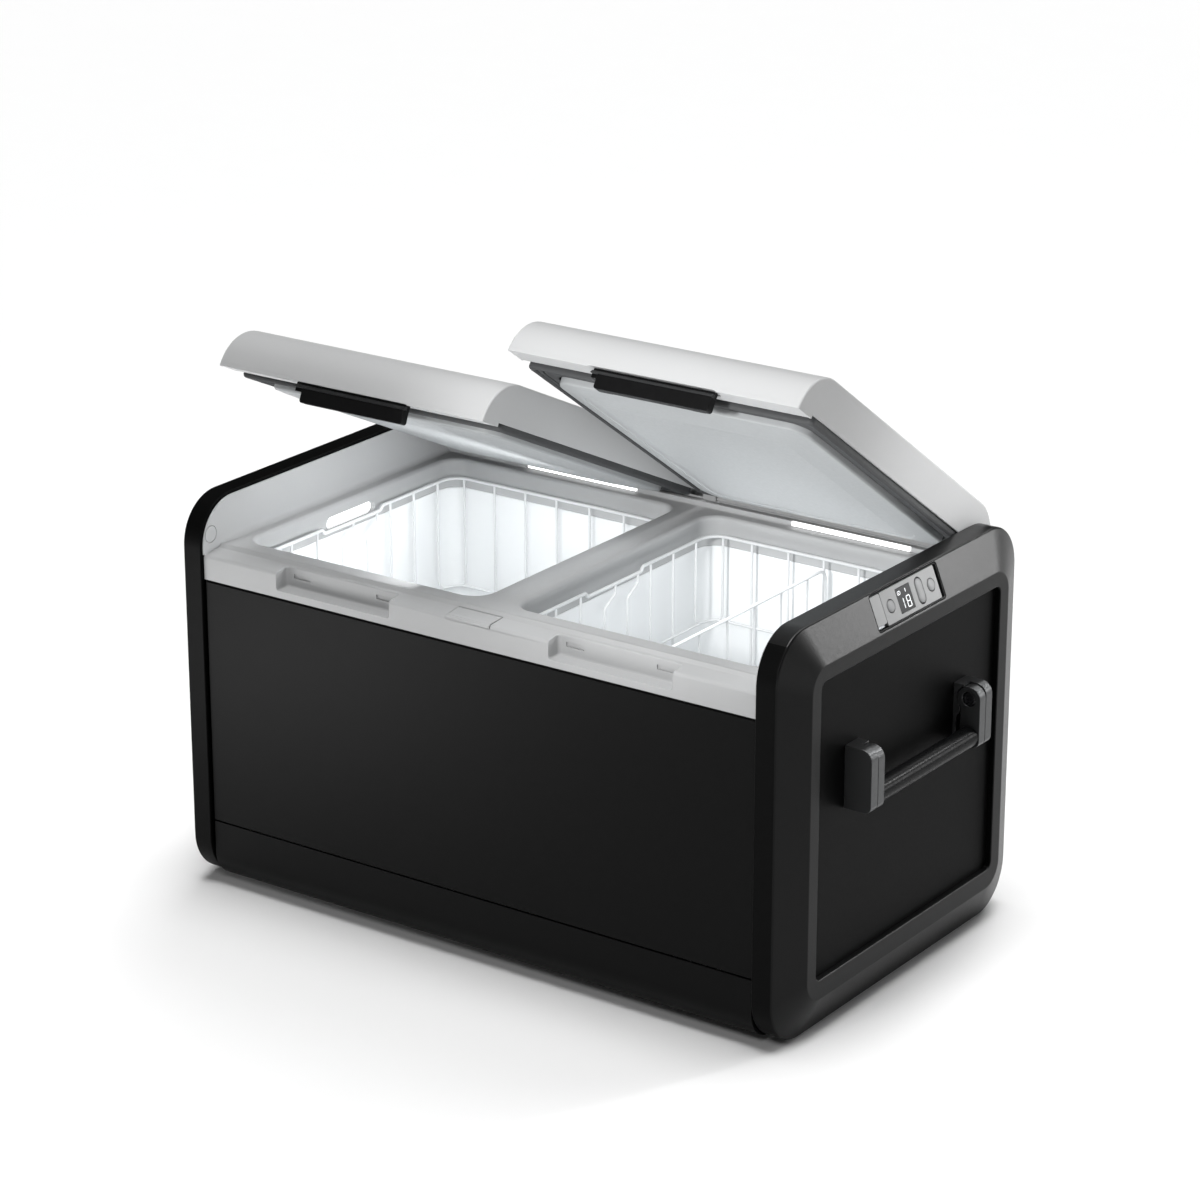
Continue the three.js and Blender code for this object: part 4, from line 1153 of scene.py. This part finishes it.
def key(name, fn, r0, body, node, dish=0.0):
    prof = [(0.0, -4.0), (0.0, -0.9), (0.25, -0.35), (0.8, 0.02), (1.8, 0.3), (3.2, 0.48 - dish), (4.8, 0.56 - 2 * dish), (5.6, 0.58 - 2.4 * dish)]
    ob = slope_loft(name, [(fn(r0 - g), d) for g, d in prof])
    done(ob, KEY, body, node, angle=60)


key("power_key_cap", lambda r: circle(POWER_Y, KEY_S, r), 6.7, "power_key", "power_button")
key("set_key_cap", lambda r: circle(SET_Y, KEY_S, r), 6.7, "set_key", "set_button")
key("temperature_key_cap", lambda r: oval(ROCKER_Y, KEY_S, r, 7.4), 6.2, "rocker_key", "temperature_rocker")

win = slope_loft("display_glass", [(rr(-20 + g, 8.6 - g, 9.5 + g, 37 - g, 0.6, 3), d) for g, d in ((0, -2.7), (0, -1.1), (0.2, -0.86))])
done(win, DISPLAY, "cabinet", "display_window")

# generic two-figure readout with two small symbols
SEG = {"a": (0, 0, 1, 0), "b": (1, 0, 1, 1), "c": (1, 1, 1, 2), "d": (0, 2, 1, 2), "e": (0, 1, 0, 2), "f": (0, 0, 0, 1), "g": (0, 1, 1, 1)}
bars = []


def bar(y0, s0, y1, s1, w=0.75):
    d = Vector((y1 - y0, s1 - s0))
    d.normalize()
    q = Vector((-d.y, d.x)) * w
    a, b = Vector((y0, s0)) + d * 0.55, Vector((y1, s1)) - d * 0.55
    pts = [a - d * 0.5 * w, a + q, b + q, b + d * 0.5 * w, b - q, a - q]
    bars.append(loft_data([on_slope([(p.x, p.y) for p in pts], -0.9), on_slope([(p.x, p.y) for p in pts], -0.62)]))


for y_at, segs in ((-16.6, "bc"), (-3.6, "abcdefg")):
    for s in segs:
        a0, b0, a1, b1 = SEG[s]
        bar(y_at + a0 * 6.6, 21.5 + b0 * 6.0, y_at + a1 * 6.6, 21.5 + b1 * 6.0, 0.55)
for pts in ([(-17.5, 13.2), (-12.2, 13.2), (-12.2, 16.8), (-17.5, 16.8)],):
    for i in range(4):
        a, b = pts[i], pts[(i + 1) % 4]
        bar(a[0], a[1], b[0], b[1], 0.4)
bar(-15.0, 14.0, -15.0, 16.2, 0.5)
bar(-1.6, 12.6, -1.6, 17.2, 0.6)
digits = build("display_figures", *merge_data(bars))
done(digits, DIGIT, "cabinet", weighted=False)

port = slope_loft("charging_socket", [(rr(-67.2, -51, 30, 41.4, 1, 3), -7.6), (rr(-67.2, -51, 30, 41.4, 1, 3), -4.2)])
cut(port, slope_loft("t", [(rr(-65, -53, 33, 38, 0.6, 3), -6.5), (rr(-65, -53, 33, 38, 0.6, 3), 0)]))
bevel(port, 0.3, 2)
done(port, DECK, "cabinet", "charging_port")
flap = slope_loft(
    "port_flap_cover",
    [(rr(-69.2 + g, -50.2 - g, 4.8 + g, 38 - g, 2.4, 6), d) for g, d in ((0.3, -2.2), (0, -1.9), (0, -1.2), (0.15, -0.93), (0.5, -0.8))],
)
done(flap, SILVER_DARK, "port_cover", "port_flap")


# -------------------------------------------------------------------- handles
def bracket_rear(name):
    plate = [
        (412.0, 249.0),
        (416.6, 249.0),
        (416.6, 283.0),
        (420.5, 286.5),
        (420.5, 315.0),
        (425.2, 318.0),
        (425.2, 321.0),
        (412.0, 321.0),
    ]
    s = rprism(name, "y", plate, BRACKET_Y0, BRACKET_Y1 - 2.0, 0.5, 3)
    cut(s, prism("t", "y", circle(PIVOT_X, PIVOT_Z, 15.2, 96), BRACKET_Y0 - 2, ARM_Y1 + 0.3))
    cheek = fillet([(412, 249, 1.2), (HANDLE_X, 249, 8), (HANDLE_X, 321, 14), (412, 321, 1.2)], 14)
    c = rprism("c", "y", cheek, ARM_Y1 + 0.3, BRACKET_Y1, 0.7, 4)
    cut(c, prism("t", "y", circle(PIVOT_X, PIVOT_Z, 3.4, 24), ARM_Y1 - 1, BRACKET_Y1 - 4))
    unite(s, c)
    return s


def bail(name):
    arm = []
    for i in range(33):
        a = math.pi * i / 32
        arm.append((PIVOT_X + 14.5 * math.cos(a), PIVOT_Z + 14.5 * math.sin(a)))
    arm += [(417.6, 300.0), (419.0, 297.0), (421.2, 294.5), (421.2, 249.9), (422.1, 249.0)]
    for i in range(11):
        a = -math.pi / 2 + math.pi / 2 * i / 10
        arm.append((HANDLE_X - 8 + 8 * math.cos(a), 257 + 8 * math.sin(a)))
    one = rprism(name, "y", arm, BRACKET_Y0 + 0.2, ARM_Y1 - 0.2, 0.7, 4)
    cut(
        one,
        loft(
            "t",
            [
                on("y", circle(PIVOT_X, PIVOT_Z, r, 64), y)
                for r, y in ((9.2, 90), (9.2, BRACKET_Y0 + 0.2), (8.5, BRACKET_Y0 + 0.75), (8.2, BRACKET_Y0 + 1.2), (8.2, BRACKET_Y0 + 4), (4.2, BRACKET_Y0 + 4), (4.2, 120))
            ],
        ),
    )
    other = mirror_y(one, "t2")
    rod = prism("t", "y", circle(GRIP_X, GRIP_Z, 8, 32), -ARM_Y1 + 3, ARM_Y1 - 3)
    unite(one, other, rod)
    return one


def grip(name):
    rings = []
    e = 1.2
    for y, r in ((-100.05, 8.4), (-100.05, 12 - e), (-99.7, 12 - 0.35), (-98.9, 12.0)):
        rings.append(on("y", circle(GRIP_X, GRIP_Z, r, 48), y))
    for y, r in ((98.9, 12.0), (99.7, 12 - 0.35), (100.05, 12 - e), (100.05, 8.4)):
        rings.append(on("y", circle(GRIP_X, GRIP_Z, r, 48), y))
    return loft(name, rings, closed=True)


def bolt(name):
    rings = [on("y", circle(PIVOT_X, PIVOT_Z, r, 48), y) for r, y in ((3.1, BRACKET_Y1 - 5), (3.1, BRACKET_Y0 + 3.6), (7.5, BRACKET_Y0 + 3.6), (7.6, BRACKET_Y0 + 1.3), (7.1, BRACKET_Y0 + 0.8), (5.2, BRACKET_Y0 + 0.8), (4.9, BRACKET_Y0 + 1.1), (4.4, BRACKET_Y0 + 1.1), (4.1, BRACKET_Y0 + 0.8))]
    s = loft(name, rings)
    hexa = [(PIVOT_X + 2.7 * math.cos(math.pi * i / 3), PIVOT_Z + 2.7 * math.sin(math.pi * i / 3)) for i in range(6)]
    cut(s, prism("t", "y", hexa, BRACKET_Y0 - 1, BRACKET_Y0 + 2.4))
    return s


br, bl_, gr, bo = bracket_rear("h1"), bail("h2"), grip("h3"), bolt("h4")
bf, bof = mirror_y(br, "h5"), mirror_y(bo, "h6")
for side in ("right", "left"):
    for src, nm, mat, body, slot, node in (
        (br, "handle_bracket_rear_", HANDLE, "cabinet", "handle_metal", "_bracket_rear"),
        (bf, "handle_bracket_front_", HANDLE, "cabinet", "handle_metal", "_bracket_front"),
        (bl_, "handle_bail_", HANDLE, side + "_handle", "handle_metal", "_bail"),
        (gr, "handle_grip_", GRIP, side + "_handle", "grip_black", "_grip"),
        (bo, "handle_bolt_rear_", BOLT, "cabinet", "steel", "_pivot_bolt_rear"),
        (bof, "handle_bolt_front_", BOLT, "cabinet", "steel", "_pivot_bolt_front"),
    ):
        if side == "left":
            ob = mirror_x(src, nm + side)
        else:
            ob = bpy.data.objects.new(nm + side, src.data.copy())
            scene.collection.objects.link(ob)
        done(ob, mat, body, side + node, angle=46)
        # painted shade: faces of the handle metal that face along ±Y take the darker copy of the metal
        if mat is HANDLE:
            ob.data.materials.append(HANDLE_SIDE_SHADE)
            for p in ob.data.polygons:
                if abs(p.normal.y) > 0.8:
                    p.material_index = 1
for ob in (br, bl_, gr, bo, bf, bof):
    bpy.data.objects.remove(ob)

# ------------------------------------------------- parts that keep their solid
KEEP = {
    "left_evaporator": ALU,
    "right_evaporator": ALU,
    "insulation_foam": FOAM,
    "compressor": ENAMEL,
    "condenser": ALU,
    "fan_frame": MACHINE,
    "fan_rotor": MACHINE,
    "control_module": DECK,
    "dc_inlet": MACHINE,
    "ac_inlet": MACHINE,
    "left_hinge_rod": STEEL,
    "right_hinge_rod": STEEL,
}
for name, mat in KEEP.items():
    ob = NODES[name]
    ob.data.materials.clear()
    ob.data.materials.append(mat)
    for p in ob.data.polygons:
        p.use_smooth = True
    ob.data.set_sharp_from_angle(angle=math.radians(32))

# ----------------------------------------------------------------- the studio
floor_mesh = bpy.data.meshes.new("floor")
floor_mesh.from_pydata([(-30, -30, 0), (30, -30, 0), (30, 30, 0), (-30, 30, 0)], [], [(0, 1, 2, 3)])
floor = bpy.data.objects.new("floor", floor_mesh)
scene.collection.objects.link(floor)
fm = material("floor_pale", (0.92, 0.92, 0.92), 0.7, specular=0.15, mottle=0.005)
floor_mesh.materials.append(fm)

world = bpy.data.worlds.new("studio")
scene.world = world
world.use_nodes = True
wn, wl = world.node_tree.nodes, world.node_tree.links
bgn = wn["Background"]
wtc = wn.new("ShaderNodeTexCoord")
wsep = wn.new("ShaderNodeSeparateXYZ")
wl.new(wtc.outputs["Generated"], wsep.inputs[0])
wmr = wn.new("ShaderNodeMapRange")
wmr.interpolation_type = "SMOOTHSTEP"
wmr.inputs["From Min"].default_value = 0.1
wmr.inputs["From Max"].default_value = 0.75
wmr.inputs["To Min"].default_value = 0.0
wmr.inputs["To Max"].default_value = 0.02
wl.new(wsep.outputs["Z"], wmr.inputs["Value"])
wl.new(wmr.outputs[0], bgn.inputs["Strength"])
bgn.inputs[0].default_value = (1, 1, 1, 1)


def area(name, loc, target, sx, sy, power, color=(1, 1, 1)):
    d = bpy.data.lights.new(name, "AREA")
    d.shape = "RECTANGLE"
    d.size, d.size_y = sx, sy
    d.energy = power
    d.color = color
    ob = bpy.data.objects.new(name, d)
    scene.collection.objects.link(ob)
    ob.location = loc
    ob.rotation_mode = "QUATERNION"
    ob.rotation_quaternion = (Vector(loc) - Vector(target)).to_track_quat("Z", "Y")
    return ob


def sun(name, energy, angle, direction):
    d = bpy.data.lights.new(name, "SUN")
    d.energy, d.angle = energy, math.radians(angle)
    ob = bpy.data.objects.new(name, d)
    scene.collection.objects.link(ob)
    ob.rotation_mode = "QUATERNION"
    ob.rotation_quaternion = Vector(direction).to_track_quat("Z", "Y")
    return ob


def spot(name, loc, target, cone, blend, power):
    d = bpy.data.lights.new(name, "SPOT")
    d.energy, d.spot_size, d.spot_blend, d.shadow_soft_size = power, math.radians(cone), blend, 0.08
    ob = bpy.data.objects.new(name, d)
    scene.collection.objects.link(ob)
    ob.location = loc
    ob.rotation_mode = "QUATERNION"
    ob.rotation_quaternion = (Vector(loc) - Vector(target)).to_track_quat("Z", "Y")
    return ob


sun("overhead", 2.4, 32, (0, 0, 1))
sun("overhead_rear", 1.3, 40, (0, 0.6, 0.8))
area("behind_right", (1.8, 1.95, 0.76), (0.41, 0.15, 0.45), 0.7, 0.6, 12)
area("key", (0.45, -1.25, 1.2), (0.25, -0.1, 0.6), 0.6, 0.5, 4.6)
spot("lid_front", (0.24, -1.6, 1.05), (0.21, -0.15, 0.68), 28, 0.75, 84)
spot("lid_side", (1.3, 0.75, 0.9), (0.373, 0.17, 0.53), 26, 1.0, 46)
spot("grip_gleam", (1.2, 1.52, 1.32), (0.48, 0.0, 0.31), 9, 0.6, 40)
area("low_front_left", (-0.68, -0.82, 0.1), (-0.24, -0.24, 0.2), 0.5, 0.2, 1.9)
# the compartments are lit from above by their lamps, and light the lids from below
for nm, k, down, upward in (("left", -1, 0.38, 0.06), ("right", 1, 0.38, 0.46)):
    area(nm + "_compartment", (k * 0.189, 0.003, 0.404), (k * 0.189, 0.003, 0.0), 0.29, 0.33, down, (0.96, 0.98, 1.0))
    lift = area(nm + "_lid_fill", (k * 0.189, 0.003, 0.402), (k * 0.189, 0.003, 0.8), 0.29, 0.33, upward, (0.98, 0.99, 1.0))
    lift.visible_camera = False
    lift.visible_glossy = False
for spill in (
    area("end_wall_fill", (-0.09, -0.08, 0.444), (-0.374, -0.06, 0.425), 0.2, 0.026, 0.62, (0.98, 0.99, 1.0)),
    area("divider_fill", (0.0, -0.05, 0.452), (0.0, -0.05, 0.41), 0.04, 0.22, 0.028, (0.98, 0.99, 1.0)),
):
    spill.visible_camera = False
    spill.visible_glossy = False

scene.view_settings.view_transform = "Standard"
scene.view_settings.look = "None"
